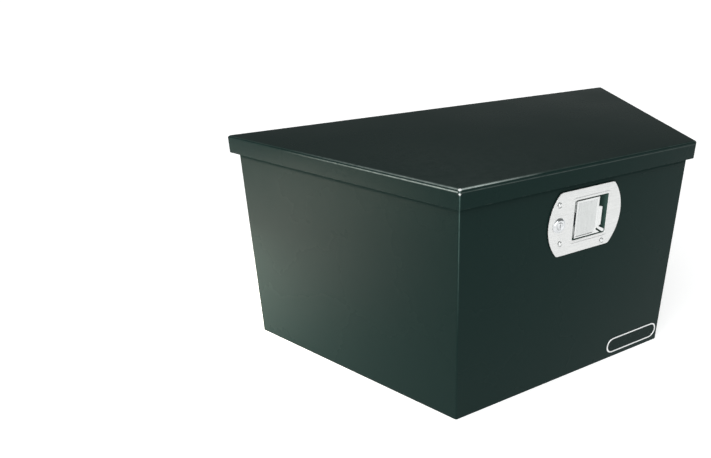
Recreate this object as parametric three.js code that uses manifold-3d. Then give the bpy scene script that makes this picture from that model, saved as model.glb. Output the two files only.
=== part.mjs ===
// Trailer tongue box: a steel chest, narrow in front and wide behind, that sits on an A-frame hitch.
// Millimetres. X runs along the front, Y from front to back, Z up; the origin is under the box's middle.
import * as THREE from 'three';
import { mergeVertices } from 'three/addons/utils/BufferGeometryUtils.js';
import Module from 'manifold-3d';

const wasm = await Module();
wasm.setup();

// Overall box
const overallHeight = 415;
const bodyDepth = 433;
const bodyFrontWidth = 478;
const bodyBackWidth = 882;
const sheet = 1.6;
const bendRadius = 4;
const fitGap = 0.2;
const weldGap = 0.6;
const cutOverrun = 2;

// Lid
const lidOverhang = 10;
const lidLip = 32;
const braceWidth = 44;
const braceCrown = 22;
const braceDepth = 9;
const braceInset = 101.5;
const braceEndClearance = 8;

// Body rim and its weather seal
const rimWidth = 14;
const rimDrop = 16;
const sealHeight = 7.8;
const sealWidth = 8;
const sealInset = 3;

// Rear hinge
const hingeEndInset = 20;
const hingeKnuckles = 27;
const hingeLeafClearance = 2;
const hingeLeafThickness = 1.2;
const knuckleClearance = 0.8;
const hingePinRadius = 1.5;
const pinClearance = 0.3;
const knuckleGap = 0.6;

// Latch: bezel, finger pocket and paddle
const latchX = 5.5;
const latchDrop = 100.5;
const bezelWidth = 157;
const bezelHeight = 112.5;
const bezelFlat = 114;
const bezelCornerRound = 7;
const bezelThickness = 1.6;
const bezelEdgeRound = 0.5;
const gasketThickness = 1.2;
const gasketInset = 0.8;
const pocketX = 10.5;
const pocketZ = 2;
const pocketWidth = 73;
const pocketHeight = 70;
const pocketDepth = 22;
const panWall = 1.2;
const panClearance = 1;
const paddleSideGap = 4.8;
const paddleEndGap = 2;
const paddleRecess = 11;
const paddleStep = 8.2;
const paddleStepHeight = 19.5;
const paddleStepSlant = 2.4;
const paddleTabRise = 11.7;
const paddleTabEnd = 4;
const paddleSlotMouth = 4.4;
const paddleSlotRun = 10.7;
const paddleSlotRise = 7.3;
const paddleThickness = 2;
const paddleSink = 0.6;
const paddlePivotInset = 8.8;
const paddlePinRadius = 2;
const paddlePinStandoff = 0.6;
const paddleOpenDegrees = 32;
const paddlePinOverhang = 1.6;
const paddleBarrelRadius = 4;
const paddleSpringLength = 24;
const paddleSpringRadius = 3.7;
const paddleSpringWire = 1;
const tailThickness = 2.5;
const tailHeight = 12;
const tailTipInset = 0.8;

// Latch: bolt and its housing
const boltDrop = 8;
const boltHeight = 16;
const boltThickness = 10;
const boltSetback = 3.8;
const boltLength = 77;
const boltNoseX = -73;
const boltNoseDrop = 10;
const boltNoseSlope = 12;
const boltTailPlay = 1;
const housingWall = 2;
const housingNoseGap = 24;
const housingRight = 39;
const housingPlay = 0.5;
const housingFoot = 12;
const housingFootInset = 6;
const housingRivetPitch = 40;
const housingRivetDrop = 8.5;
const boltSpringRadius = 5;
const boltSpringWire = 1.4;

// Latch: key lock
const lockPocketGap = 31;
const lockZ = 0.5;
const lockRoseRadius = 13;
const lockRoseThickness = 2.5;
const lockBarrelRadius = 9.5;
const lockBarrelDepth = 26;
const lockPlugRadius = 6;
const lockPlugProud = 0.5;
const lockTailRadius = 3.4;
const keySlotWidth = 1.4;
const keySlotHeight = 7;
const keySlotDepth = 9;
const lockNutWidth = 26;
const lockNutThickness = 4;
const camHousingGap = 1;
const camWidth = 8;
const camThickness = 2;
const camEyeRadius = 6;
const camPlay = 1;
const camNutWidth = 10;
const camNutThickness = 2.4;

// Rivets
const rivetShankRadius = 1.9;
const rivetHeadRadius = 3.6;
const rivetHeadHeight = 1.6;
const bezelRivetShares = [[-0.744, 0.65], [-0.654, -0.578], [0.543, -0.848]];

// Striker under the lid
const strikerRod = 3;
const strikerNoseInset = 8;
const strikerSidePlay = 1;
const strikerDropPlay = 1.5;
const strikerBend = 5;
const strikerPlateLength = 50;
const strikerPlateWidth = 38;
const strikerPlateThickness = 2;

// Blank plate low on the front
const plateEndInset = 7;
const plateZ = 27;
const plateWidth = 132;
const plateHeight = 33.5;
const plateThickness = 0.8;
const plateCornerShare = 0.96;

// Gas stays between the back wall and the lid
const staySideClearance = 4.3;
const stayBraceGap = 48.7;
const stayFootForward = 32;
const stayFootDown = 30;
const stayHeadUp = 12;
const stayTubeRadius = 7.5;
const stayTubeLength = 130;
const stayBoreStart = 30;
const stayRodRadius = 4;
const stayRodEndGap = 2;
const stayRodClearance = 0.5;
const stayEyeRadius = 7;
const stayEyeThickness = 8;
const stayStudRadius = 3;
const stayStudLength = 5;
const stayBracketThickness = 2.5;
const stayBracketWidth = 20;
const stayBracketFoot = 26;
const stayBracketFootHeight = 44;
const stayHeadBracketLength = 40;

// Sides of the round pieces
const fineSides = 32;
const roundSides = 20;
const smallSides = 12;
const bendSteps = 4;

// Places that follow from the sizes above
const halfDepth = bodyDepth / 2;
const frontHalf = bodyFrontWidth / 2;
const sideSlope = (bodyBackWidth - bodyFrontWidth) / 2 / bodyDepth;
const sideStretch = Math.hypot(1, sideSlope);
const sideAngle = Math.atan(sideSlope);
const lidUnderside = overallHeight - sheet;
const bodyTop = lidUnderside - fitGap - sealHeight - fitGap;
const hingeY = halfDepth + (lidOverhang - sheet) / 2;
const hingeZ = overallHeight - lidLip;
const braceY = halfDepth - braceInset;
const latchZ = overallHeight - latchDrop;
const quarter = Math.PI / 2;
const half = Math.PI;
const full = 2 * Math.PI;

// Finishes
function finish(color, roughness, metalness) {
  return new THREE.MeshStandardMaterial({ color, roughness, metalness });
}

const blackPaint = () => finish(0x1d2624, 0.42, 0.15);
const stainless = () => finish(0xd9dbda, 0.28, 0.9);
const zincPlate = () => finish(0xa9adad, 0.4, 0.85);
const darkSteel = () => finish(0x2b2d2f, 0.35, 0.6);
const chrome = () => finish(0xdfe3e6, 0.12, 1);
const rubber = () => finish(0x111313, 0.85, 0);
const aluminium = () => finish(0x9ba1a2, 0.38, 0.85);

// Joins and cuts on closed meshes
function toSolid(geometry) {
  const bare = geometry.clone();
  bare.deleteAttribute('normal');
  bare.deleteAttribute('uv');
  const merged = mergeVertices(bare);
  const vertProperties = new Float32Array(merged.attributes.position.array);
  const triVerts = new Uint32Array(merged.index.array);
  return new wasm.Manifold(new wasm.Mesh({ numProp: 3, vertProperties, triVerts }));
}

function toGeometry(solid) {
  const mesh = solid.getMesh();
  const geometry = new THREE.BufferGeometry();
  geometry.setAttribute('position', new THREE.BufferAttribute(new Float32Array(mesh.vertProperties), 3));
  geometry.setIndex(new THREE.BufferAttribute(new Uint32Array(mesh.triVerts), 1));
  geometry.computeVertexNormals();
  return geometry;
}

function join(first, ...others) {
  return toGeometry(others.reduce((sum, piece) => sum.add(toSolid(piece)), toSolid(first)));
}

function cut(base, ...tools) {
  return toGeometry(tools.reduce((rest, tool) => rest.subtract(toSolid(tool)), toSolid(base)));
}

// Plain shapes in this object's axes
const alongX = new THREE.Matrix4().set(0, 0, 1, 0, 1, 0, 0, 0, 0, 1, 0, 0, 0, 0, 0, 1);
const alongY = new THREE.Matrix4().set(1, 0, 0, 0, 0, 0, 1, 0, 0, 1, 0, 0, 0, 0, 0, 1);

function block([x0, x1], [y0, y1], [z0, z1]) {
  const middle = [(x0 + x1) / 2, (y0 + y1) / 2, (z0 + z1) / 2];
  return new THREE.BoxGeometry(x1 - x0, y1 - y0, z1 - z0).translate(...middle);
}

function extrude(shape, depth, curveSegments = smallSides) {
  return new THREE.ExtrudeGeometry(shape, { depth, bevelEnabled: false, curveSegments });
}

// A plan outline raised from z0 to z1
function raise(shape, z0, z1) {
  return extrude(shape, z1 - z0).translate(0, 0, z0);
}

// A section in Y and Z drawn out from x0 to x1
function drawAcross(shape, x0, x1) {
  return extrude(shape, x1 - x0).applyMatrix4(alongX).translate(x0, 0, 0);
}

// A face outline in X and Z, given thickness from y0 to y1
function thicken(shape, y0, y1) {
  return turnedOut(extrude(shape, y1 - y0).applyMatrix4(alongY)).translate(0, y0, 0);
}

// Turns the faces of a mirrored shape back outwards
function turnedOut(geometry) {
  const flat = geometry.index ? geometry.toNonIndexed() : geometry;
  const points = flat.attributes.position;
  for (let i = 0; i < points.count; i += 3) {
    const second = [points.getX(i + 1), points.getY(i + 1), points.getZ(i + 1)];
    points.setXYZ(i + 1, points.getX(i + 2), points.getY(i + 2), points.getZ(i + 2));
    points.setXYZ(i + 2, ...second);
  }
  flat.computeVertexNormals();
  return flat;
}

function mirrored(geometry) {
  return turnedOut(geometry.clone().scale(-1, 1, 1));
}

function rodAlongX(radius, [x0, x1], y, z, sides = smallSides) {
  const rod = new THREE.CylinderGeometry(radius, radius, x1 - x0, sides);
  return rod.rotateZ(quarter).translate((x0 + x1) / 2, y, z);
}

function rodAlongY(radius, [y0, y1], x, z, sides = smallSides) {
  const rod = new THREE.CylinderGeometry(radius, radius, y1 - y0, sides);
  return rod.translate(x, (y0 + y1) / 2, z);
}

function rodAlongZ(radius, [z0, z1], x, y, sides = smallSides) {
  const rod = new THREE.CylinderGeometry(radius, radius, z1 - z0, sides);
  return rod.rotateX(quarter).translate(x, y, (z0 + z1) / 2);
}

function outline(points) {
  return new THREE.Shape(points.map(([u, v]) => new THREE.Vector2(u, v)));
}

function roundedPlate(width, height, radius) {
  const [u, v] = [width / 2, height / 2];
  const shape = new THREE.Shape();
  shape.absarc(u - radius, v - radius, radius, 0, quarter, false);
  shape.absarc(radius - u, v - radius, radius, quarter, half, false);
  shape.absarc(radius - u, radius - v, radius, half, half + quarter, false);
  shape.absarc(u - radius, radius - v, radius, half + quarter, full, false);
  return shape;
}

function hexagon(acrossFlats) {
  const corner = acrossFlats / 2 / Math.cos(half / 6);
  const points = [];
  for (let i = 0; i < 6; i += 1) {
    points.push([corner * Math.cos((i * half) / 3), corner * Math.sin((i * half) / 3)]);
  }
  return outline(points);
}

// The box's plan, grown outwards by a distance: front left, front right, back right, back left
function halfWidthAt(y, grow) {
  return frontHalf + (y + halfDepth) * sideSlope + grow * sideStretch;
}

function planCorners(grow) {
  const [front, back] = [-halfDepth - grow, halfDepth + grow];
  const [narrow, wide] = [halfWidthAt(front, grow), halfWidthAt(back, grow)];
  const corners = [[-narrow, front], [narrow, front], [wide, back], [-wide, back]];
  return corners.map(([x, y]) => new THREE.Vector2(x, y));
}

// A bar along one side of the plan, mitred at both ends; its section is a list of [grow, z]
const sideNames = ['front', 'right', 'back', 'left'];

function mitredBar(side, section) {
  const start = sideNames.indexOf(side);
  const end = (start + 1) % sideNames.length;
  const starts = [];
  const ends = [];
  section.forEach(([grow, z]) => {
    const corners = planCorners(grow);
    const along = corners[end].clone().sub(corners[start]).normalize().multiplyScalar(fitGap);
    const [a, b] = [corners[start].clone().add(along), corners[end].clone().sub(along)];
    starts.push([a.x, a.y, z]);
    ends.push([b.x, b.y, z]);
  });
  const count = section.length;
  const loop = section.map(([grow, z]) => new THREE.Vector2(grow, z));
  const caps = THREE.ShapeUtils.triangulateShape(loop, []);
  const turns = !THREE.ShapeUtils.isClockWise(loop);
  const index = [];
  const face = (a, b, c) => (turns ? index.push(a, b, c) : index.push(a, c, b));
  section.forEach((_, i) => {
    const next = (i + 1) % count;
    face(i, i + count, next + count);
    face(i, next + count, next);
  });
  caps.forEach(([a, b, c]) => {
    if (turns) {
      index.push(a, b, c, a + count, c + count, b + count);
    } else {
      index.push(a, c, b, a + count, b + count, c + count);
    }
  });
  const geometry = new THREE.BufferGeometry();
  geometry.setAttribute('position', new THREE.Float32BufferAttribute([...starts, ...ends].flat(), 3));
  geometry.setIndex(index);
  geometry.computeVertexNormals();
  return geometry;
}

const box = new THREE.Group();

function add(group, name, geometry, material) {
  const mesh = new THREE.Mesh(geometry, material);
  mesh.name = name;
  group.add(mesh);
  return mesh;
}

// Latch outlines, drawn about the bezel's middle
function bezelOutline(inset) {
  const [reach, rise, flat] = [bezelWidth / 2, bezelHeight / 2, bezelFlat / 2];
  const bulge = reach - flat;
  const arc = (rise * rise + bulge * bulge) / 2 / bulge;
  const centre = reach - arc;
  const cornerZ = rise - bezelCornerRound;
  const turn = Math.asin(cornerZ / (arc - bezelCornerRound));
  const cornerX = centre + (arc - bezelCornerRound) * Math.cos(turn);
  const round = bezelCornerRound - inset;
  const shape = new THREE.Shape();
  shape.absarc(centre, 0, arc - inset, -turn, turn, false);
  shape.absarc(cornerX, cornerZ, round, turn, quarter, false);
  shape.absarc(-cornerX, cornerZ, round, quarter, half - turn, false);
  shape.absarc(-centre, 0, arc - inset, half - turn, half + turn, false);
  shape.absarc(-cornerX, -cornerZ, round, half + turn, half + quarter, false);
  shape.absarc(cornerX, -cornerZ, round, half + quarter, full - turn, false);
  return shape;
}

const pocketLeft = pocketX - pocketWidth / 2;
const pocketRight = pocketX + pocketWidth / 2;
const pocketBottom = pocketZ - pocketHeight / 2;
const pocketTop = pocketZ + pocketHeight / 2;
const gasketFace = -fitGap - gasketThickness;
const bezelBack = gasketFace - fitGap;
const bezelFace = bezelBack - bezelThickness;
const panBack = pocketDepth + panWall;
const pivotX = pocketLeft + paddlePivotInset;
const paddlePivotDepth = sheet + paddlePinRadius + paddlePinStandoff;
const boltFront = panBack + boltSetback;
const boltBack = boltFront + boltThickness;
const boltMiddle = (boltFront + boltBack) / 2;
const boltRise = pocketTop - boltDrop;
const boltBottom = boltRise - boltHeight / 2;
const boltRoof = boltRise + boltHeight / 2;
const boltRear = boltNoseX + boltLength;
const tailTip = boltMiddle - tailTipInset;
const housingLeft = boltNoseX + housingNoseGap;
const housingFloor = boltBottom - housingPlay;
const housingRivetRise = housingFloor - housingRivetDrop;
const lockX = pocketLeft - lockPocketGap;
const camLength = housingFloor - housingWall - camHousingGap - lockZ;
const strikerX = boltNoseX + strikerNoseInset;
const bezelRivetPlaces = bezelRivetShares.map(([across, up]) => [
  (across * bezelWidth) / 2,
  (up * bezelHeight) / 2,
]);
const camFront = lockBarrelDepth + camPlay + camPlay;

// The opening behind the bezel, which the gasket and the front panel share
function latchOpenings(y0, y1) {
  const [grow, lockHole] = [panWall + panClearance, lockBarrelRadius + panClearance];
  const across = [pocketLeft - grow, pocketRight + grow];
  const openings = [block(across, [y0, y1], [pocketBottom - grow, pocketTop + grow])];
  openings.push(rodAlongY(lockHole, [y0, y1], lockX, lockZ, fineSides));
  bezelRivetPlaces.forEach(([x, z]) => {
    openings.push(rodAlongY(rivetShankRadius + pinClearance, [y0, y1], x, z));
  });
  return openings;
}

// Body of the box: five sheets, welded at their edges
const body = new THREE.Group();
box.add(body);

function frontPanel() {
  const bendStart = planCorners(-bendRadius)[1].x - fitGap;
  const plate = block([-bendStart, bendStart], [-halfDepth, sheet - halfDepth], [0, bodyTop]);
  const openings = latchOpenings(-cutOverrun, sheet + cutOverrun);
  return cut(plate, ...openings.map((opening) => opening.translate(latchX, -halfDepth, latchZ)));
}

// The right side with the bend that brings it round to the front
function sidePanel() {
  const centre = planCorners(-bendRadius)[1];
  const [outer, inner] = [planCorners(0)[2], planCorners(-sheet)[2]];
  const drawBack = new THREE.Vector2(-sideSlope, -1).normalize().multiplyScalar(fitGap);
  const shape = new THREE.Shape();
  shape.absarc(centre.x, centre.y, bendRadius, -quarter, -sideAngle, false);
  shape.lineTo(outer.x + drawBack.x, outer.y + drawBack.y);
  shape.lineTo(inner.x + drawBack.x, inner.y + drawBack.y);
  shape.absarc(centre.x, centre.y, bendRadius - sheet, -sideAngle, -quarter, true);
  return extrude(shape, bodyTop, bendSteps);
}

// The plan with its two front corners rounded, as the bent sides leave it
function floorOutline(grow) {
  const [centre, radius] = [planCorners(-bendRadius)[1], bendRadius + grow];
  const [, , backRight, backLeft] = planCorners(grow);
  const shape = new THREE.Shape();
  shape.absarc(centre.x, centre.y, radius, -quarter, -sideAngle, false);
  shape.lineTo(backRight.x, backRight.y);
  shape.lineTo(backLeft.x, backLeft.y);
  shape.absarc(-centre.x, centre.y, radius, half + sideAngle, half + quarter, false);
  return shape;
}

add(body, 'front_panel', frontPanel(), blackPaint());
add(body, 'right_side_panel', sidePanel(), blackPaint());
add(body, 'left_side_panel', mirrored(sidePanel()), blackPaint());
const wallSection = [[0, 0], [0, bodyTop], [-sheet, bodyTop], [-sheet, 0]];
add(body, 'back_panel', mitredBar('back', wallSection), blackPaint());
add(body, 'floor_panel', raise(floorOutline(-sheet - fitGap), 0, sheet), blackPaint());

// Angle rim inside the top of each wall, with a strip of bulb seal on it
const rimOuter = -sheet - weldGap;
const rimInner = rimOuter - rimWidth;
const rimUnder = bodyTop - sheet;
const rimSection = [
  [rimOuter, bodyTop],
  [rimInner, bodyTop],
  [rimInner, rimUnder],
  [rimOuter - sheet, rimUnder],
  [rimOuter - sheet, bodyTop - rimDrop],
  [rimOuter, bodyTop - rimDrop],
];

function sealSection() {
  const radius = sealWidth / 2;
  const middle = rimOuter - sealInset - radius;
  const foot = bodyTop + fitGap;
  const crown = foot + sealHeight;
  const points = [[middle + radius, foot]];
  for (let i = 0; i <= bendSteps * 2; i += 1) {
    const angle = (i * half) / bendSteps / 2;
    points.push([middle + radius * Math.cos(angle), crown - radius + radius * Math.sin(angle)]);
  }
  points.push([middle - radius, foot]);
  return points;
}

sideNames.forEach((side) => {
  add(body, `rim_${side}`, mitredBar(side, rimSection), blackPaint());
  add(body, `lid_seal_${side}`, mitredBar(side, sealSection()), rubber());
});

// Blank plate, bonded low on the front near the right corner
const plateX = frontHalf - plateEndInset - plateWidth / 2;
const plateRound = plateHeight / 2 * plateCornerShare;
const blank = thicken(roundedPlate(plateWidth, plateHeight, plateRound), -plateThickness, 0);
add(body, 'blank_plate', blank, aluminium()).position.set(plateX, -halfDepth - fitGap, plateZ);

// Lid: a flat top with a lip bent down on each side
const lid = new THREE.Group();
box.add(lid);

function lipSection() {
  const [outer, inner] = [lidOverhang, lidOverhang - sheet];
  const [middle, height] = [lidOverhang - bendRadius, overallHeight - bendRadius];
  const points = [[inner, hingeZ], [outer, hingeZ]];
  for (let i = 0; i <= bendSteps; i += 1) {
    const angle = (i * quarter) / bendSteps;
    points.push([middle + bendRadius * Math.cos(angle), height + bendRadius * Math.sin(angle)]);
  }
  for (let i = bendSteps; i >= 0; i -= 1) {
    const angle = (i * quarter) / bendSteps;
    const radius = bendRadius - sheet;
    points.push([middle + radius * Math.cos(angle), height + radius * Math.sin(angle)]);
  }
  return points;
}

const lidFlat = new THREE.Shape(planCorners(lidOverhang - bendRadius - fitGap));
add(lid, 'lid_top', raise(lidFlat, lidUnderside, overallHeight), blackPaint());
sideNames.forEach((side) => {
  add(lid, `lid_lip_${side}`, mitredBar(side, lipSection()), blackPaint());
});

// Hat-shaped braces under the lid
function brace(y) {
  const roof = lidUnderside - fitGap;
  const [wide, crown, keel] = [braceWidth / 2, braceCrown / 2, roof - braceDepth];
  const hat = outline([
    [y - wide, roof],
    [y - wide, roof - sheet],
    [y - crown - sheet, roof - sheet],
    [y - crown, keel],
    [y + crown, keel],
    [y + crown + sheet, roof - sheet],
    [y + wide, roof - sheet],
    [y + wide, roof],
    [y + crown, roof],
    [y + crown - sheet, keel + sheet],
    [y - crown + sheet, keel + sheet],
    [y - crown, roof],
  ]);
  const reach = halfWidthAt(y - wide, rimInner - braceEndClearance);
  return drawAcross(hat, -reach, reach);
}

add(lid, 'lid_brace_front', brace(-braceY), zincPlate());
add(lid, 'lid_brace_rear', brace(braceY), zincPlate());

// Rear hinge: two leaves with interleaved knuckles on one pin
const hingeEnd = bodyBackWidth / 2 - hingeEndInset;
const knucklePitch = (2 * hingeEnd) / hingeKnuckles;
const knuckleRadius = (lidOverhang - sheet) / 2 - knuckleClearance;
const hingeLeafHeight = lidLip - bendRadius - hingeLeafClearance;

function hingeLeaf(first, up) {
  const seat = up ? halfDepth + lidOverhang - sheet - fitGap : halfDepth + fitGap;
  const across = up ? [seat - hingeLeafThickness, seat] : [seat, seat + hingeLeafThickness];
  const near = knuckleRadius + pinClearance;
  const tall = up ? [hingeZ + near, hingeZ + hingeLeafHeight] : [hingeZ - hingeLeafHeight, hingeZ - near];
  const tab = up ? [hingeZ, hingeZ + near + pinClearance] : [hingeZ - near - pinClearance, hingeZ];
  const pieces = [block([-hingeEnd, hingeEnd], across, tall)];
  for (let i = first; i < hingeKnuckles; i += 2) {
    const start = i * knucklePitch - hingeEnd;
    const span = [start + knuckleGap / 2, start + knucklePitch - knuckleGap / 2];
    pieces.push(join(rodAlongX(knuckleRadius, span, hingeY, hingeZ), block(span, across, tab)));
  }
  const bore = [-hingeEnd - cutOverrun, hingeEnd + cutOverrun];
  return cut(join(...pieces), rodAlongX(hingePinRadius + pinClearance, bore, hingeY, hingeZ));
}

add(body, 'hinge_leaf_body', hingeLeaf(0, false), stainless());
add(lid, 'hinge_leaf_lid', hingeLeaf(1, true), stainless());
add(body, 'hinge_pin', rodAlongX(hingePinRadius, [-hingeEnd, hingeEnd], hingeY, hingeZ), stainless());

// Latch, set through the front panel
const latch = new THREE.Group();
latch.position.set(latchX, -halfDepth, latchZ);
box.add(latch);

function latchGasket() {
  const sheetRubber = thicken(bezelOutline(gasketInset), gasketFace, -fitGap);
  return cut(sheetRubber, ...latchOpenings(gasketFace - cutOverrun, cutOverrun));
}

// Bezel and finger pocket, pressed from one piece of stainless
function latchDish() {
  const face = thicken(bezelOutline(bezelEdgeRound), bezelFace, bezelBack);
  const rim = thicken(bezelOutline(0), bezelFace + bezelEdgeRound, bezelBack);
  const pan = block(
    [pocketLeft - panWall, pocketRight + panWall],
    [bezelFace + bezelEdgeRound, panBack],
    [pocketBottom - panWall, pocketTop + panWall],
  );
  const hollow = block(
    [pocketLeft, pocketRight],
    [bezelFace - cutOverrun, pocketDepth],
    [pocketBottom, pocketTop],
  );
  const pinHole = rodAlongZ(
    paddlePinRadius + pinClearance,
    [pocketBottom - panWall - cutOverrun, pocketTop + panWall + cutOverrun],
    pivotX,
    paddlePivotDepth,
  );
  const through = [bezelFace - cutOverrun, bezelBack + cutOverrun];
  const lockHole = rodAlongY(lockBarrelRadius + pinClearance, through, lockX, lockZ, fineSides);
  const rivetHoles = bezelRivetPlaces.map(([x, z]) => (
    rodAlongY(rivetShankRadius + pinClearance, through, x, z)
  ));
  const sweep = (panBack - paddlePivotDepth) * Math.tan(THREE.MathUtils.degToRad(paddleOpenDegrees));
  const tailSlot = block(
    [pivotX - tailThickness, pivotX + sweep + tailThickness],
    [pocketDepth - cutOverrun, panBack + cutOverrun],
    [boltRise - tailHeight / 2 - boltTailPlay, boltRise + tailHeight / 2 + boltTailPlay],
  );
  const feet = housingRivets.map((x) => {
    const wall = [pocketDepth - cutOverrun, panBack + cutOverrun];
    return rodAlongY(rivetShankRadius + pinClearance, wall, x, housingRivetRise);
  });
  return cut(join(face, rim, pan), hollow, pinHole, lockHole, ...rivetHoles, tailSlot, ...feet);
}

// Paddle: a face plate, a barrel round the pin and a tail that drives the bolt
function paddle() {
  const [left, bottom] = [pocketLeft + paddleSideGap, pocketBottom + paddleEndGap];
  const [right, top] = [pocketRight - paddleRecess, pocketTop - paddleEndGap];
  const [tip, mouth, step] = [pocketRight - paddleEndGap, paddleSlotMouth, top - paddleStepHeight];
  const slotEnd = [right - paddleSlotRun, bottom + paddleSlotRise];
  const face = outline([
    [left, bottom],
    [right, bottom],
    slotEnd,
    [slotEnd[0] + mouth / 3, slotEnd[1] + mouth / 2],
    [right + mouth, bottom],
    [tip, bottom],
    [tip, bottom + paddleTabEnd],
    [right - mouth, bottom + paddleTabRise],
    [right, bottom + paddleTabRise + mouth / 2],
    [right, step],
    [right - paddleStep, step + paddleStepSlant],
    [right - paddleStep, top],
    [left, top],
  ]);
  const plate = thicken(face, bezelFace + paddleSink, bezelFace + paddleSink + paddleThickness);
  const [low, high] = [pocketZ - paddleSpringLength / 2, pocketZ + paddleSpringLength / 2];
  const webFace = bezelFace + paddleSink + paddleThickness / 2;
  const webSpan = [pivotX - tailThickness, pivotX + tailThickness];
  const pieces = [plate];
  [[bottom, low], [high, top]].forEach((span) => {
    pieces.push(rodAlongZ(paddleBarrelRadius, span, pivotX, paddlePivotDepth, roundSides));
    pieces.push(block(webSpan, [webFace, paddlePivotDepth], span));
  });
  const tailSpan = [boltRise - tailHeight / 2, boltRise + tailHeight / 2];
  const [near, far] = [pivotX - tailThickness / 2, pivotX + tailThickness / 2];
  pieces.push(block([near, far], [paddlePivotDepth, tailTip], tailSpan));
  pieces.push(rodAlongZ(tailThickness, tailSpan, pivotX, tailTip));
  const bore = [bottom - cutOverrun, top + cutOverrun];
  return cut(join(...pieces), rodAlongZ(paddlePinRadius + pinClearance, bore, pivotX, paddlePivotDepth));
}

function paddlePin() {
  const span = [pocketBottom - panWall - paddlePinOverhang, pocketTop + panWall + paddlePinOverhang];
  return rodAlongZ(paddlePinRadius, span, pivotX, paddlePivotDepth);
}

function paddleSpring() {
  const play = paddleSpringLength / 2 - fitGap;
  const span = [pocketZ - play, pocketZ + play];
  const bore = [span[0] - cutOverrun, span[1] + cutOverrun];
  return cut(
    rodAlongZ(paddleSpringRadius, span, pivotX, paddlePivotDepth, roundSides),
    rodAlongZ(paddleSpringRadius - paddleSpringWire, bore, pivotX, paddlePivotDepth, roundSides),
  );
}

// Sliding bolt with a sloped nose and a notch for the paddle's tail
function latchBolt() {
  const profile = outline([
    [boltNoseX, boltBottom],
    [boltRear, boltBottom],
    [boltRear, boltRoof],
    [boltNoseX + boltNoseSlope, boltRoof],
    [boltNoseX, boltRoof - boltNoseDrop],
  ]);
  const tailNotch = block(
    [pivotX - tailThickness - boltTailPlay, pivotX + tailThickness + boltTailPlay],
    [boltFront - cutOverrun, tailTip + tailThickness + housingPlay],
    [boltBottom - cutOverrun, boltRoof + cutOverrun],
  );
  return cut(thicken(profile, boltFront, boltBack), tailNotch);
}

// Housing: a channel round the bolt, closed at the spring's end, with a foot on the pan
const lastRivet = housingRight - housingFootInset;
const housingRivets = [lastRivet - housingRivetPitch, lastRivet];

function latchHousing() {
  const [floor, roof] = [housingFloor, boltRoof + housingPlay];
  const inside = boltBack + housingPlay;
  const front = panBack + fitGap;
  const shell = block(
    [housingLeft, housingRight],
    [front, inside + housingWall],
    [floor - housingWall, roof + housingWall],
  );
  const channel = block(
    [housingLeft - cutOverrun, housingRight - housingWall],
    [front - cutOverrun, inside],
    [floor, roof],
  );
  const foot = block(
    [housingRivets[0] - housingFootInset, housingRight],
    [front, front + housingWall],
    [floor - housingFoot, floor],
  );
  const holes = housingRivets.map((x) => {
    const span = [front - cutOverrun, front + housingWall + cutOverrun];
    return rodAlongY(rivetShankRadius + pinClearance, span, x, housingRivetRise);
  });
  return cut(join(shell, foot), channel, ...holes);
}

function boltSpring() {
  const span = [boltRear + fitGap, housingRight - housingWall - fitGap];
  const bore = [span[0] - cutOverrun, span[1] + cutOverrun];
  return cut(
    rodAlongX(boltSpringRadius, span, boltMiddle, boltRise, roundSides),
    rodAlongX(boltSpringRadius - boltSpringWire, bore, boltMiddle, boltRise, roundSides),
  );
}

// A rivet through the layers between two faces: domed head, shank and flat tail
function rivet(x, z, face, back) {
  const [front, rear] = [face - fitGap, back + fitGap];
  const profile = [];
  for (let i = 0; i <= bendSteps; i += 1) {
    const angle = (i * quarter) / bendSteps;
    profile.push([rivetHeadRadius * Math.sin(angle), front - rivetHeadHeight * Math.cos(angle)]);
  }
  profile.push([rivetShankRadius, front], [rivetShankRadius, rear], [rivetHeadRadius, rear]);
  profile.push([rivetHeadRadius, rear + rivetHeadHeight / 2], [0, rear + rivetHeadHeight / 2]);
  profile[0][0] = 0;
  const points = profile.map(([radius, y]) => new THREE.Vector2(radius, y));
  return new THREE.LatheGeometry(points, smallSides).translate(x, 0, z);
}

// Key lock: rose and barrel, plug with its keyway, cam and nuts
function lockBarrel() {
  const face = bezelFace - fitGap - lockRoseThickness;
  const rose = rodAlongY(lockRoseRadius, [face, bezelFace - fitGap], lockX, lockZ, fineSides);
  const tube = rodAlongY(lockBarrelRadius, [face, lockBarrelDepth], lockX, lockZ, fineSides);
  const bore = [face - cutOverrun, lockBarrelDepth + cutOverrun];
  return cut(join(rose, tube), rodAlongY(lockPlugRadius + pinClearance, bore, lockX, lockZ, roundSides));
}

function lockPlug() {
  const face = bezelFace - fitGap - lockRoseThickness - lockPlugProud;
  const end = camFront + camThickness + camNutThickness + camPlay;
  const plug = rodAlongY(lockPlugRadius, [face, lockBarrelDepth + camPlay], lockX, lockZ, roundSides);
  const tail = rodAlongY(lockTailRadius, [lockBarrelDepth, end], lockX, lockZ, roundSides);
  const keyway = block(
    [lockX - keySlotWidth / 2, lockX + keySlotWidth / 2],
    [face - cutOverrun, face + keySlotDepth],
    [lockZ - keySlotHeight / 2, lockZ + keySlotHeight / 2],
  );
  return cut(join(plug, tail), keyway);
}

function lockCam() {
  const arm = block(
    [lockX, lockX + camLength],
    [camFront, camFront + camThickness],
    [lockZ - camWidth / 2, lockZ + camWidth / 2],
  );
  const eye = rodAlongY(camEyeRadius, [camFront, camFront + camThickness], lockX, lockZ, roundSides);
  const bore = [camFront - cutOverrun, camFront + camThickness + cutOverrun];
  return cut(join(arm, eye), rodAlongY(lockTailRadius + fitGap, bore, lockX, lockZ, roundSides));
}

// A nut on the lock, screwed down against a face
function hexNut(width, face, thickness, threadRadius) {
  const [front, back] = [face + fitGap, face + fitGap + thickness];
  const nut = thicken(hexagon(width), front, back).translate(lockX, 0, lockZ);
  const bore = [front - cutOverrun, back + cutOverrun];
  return cut(nut, rodAlongY(threadRadius + fitGap, bore, lockX, lockZ, roundSides));
}

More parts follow.
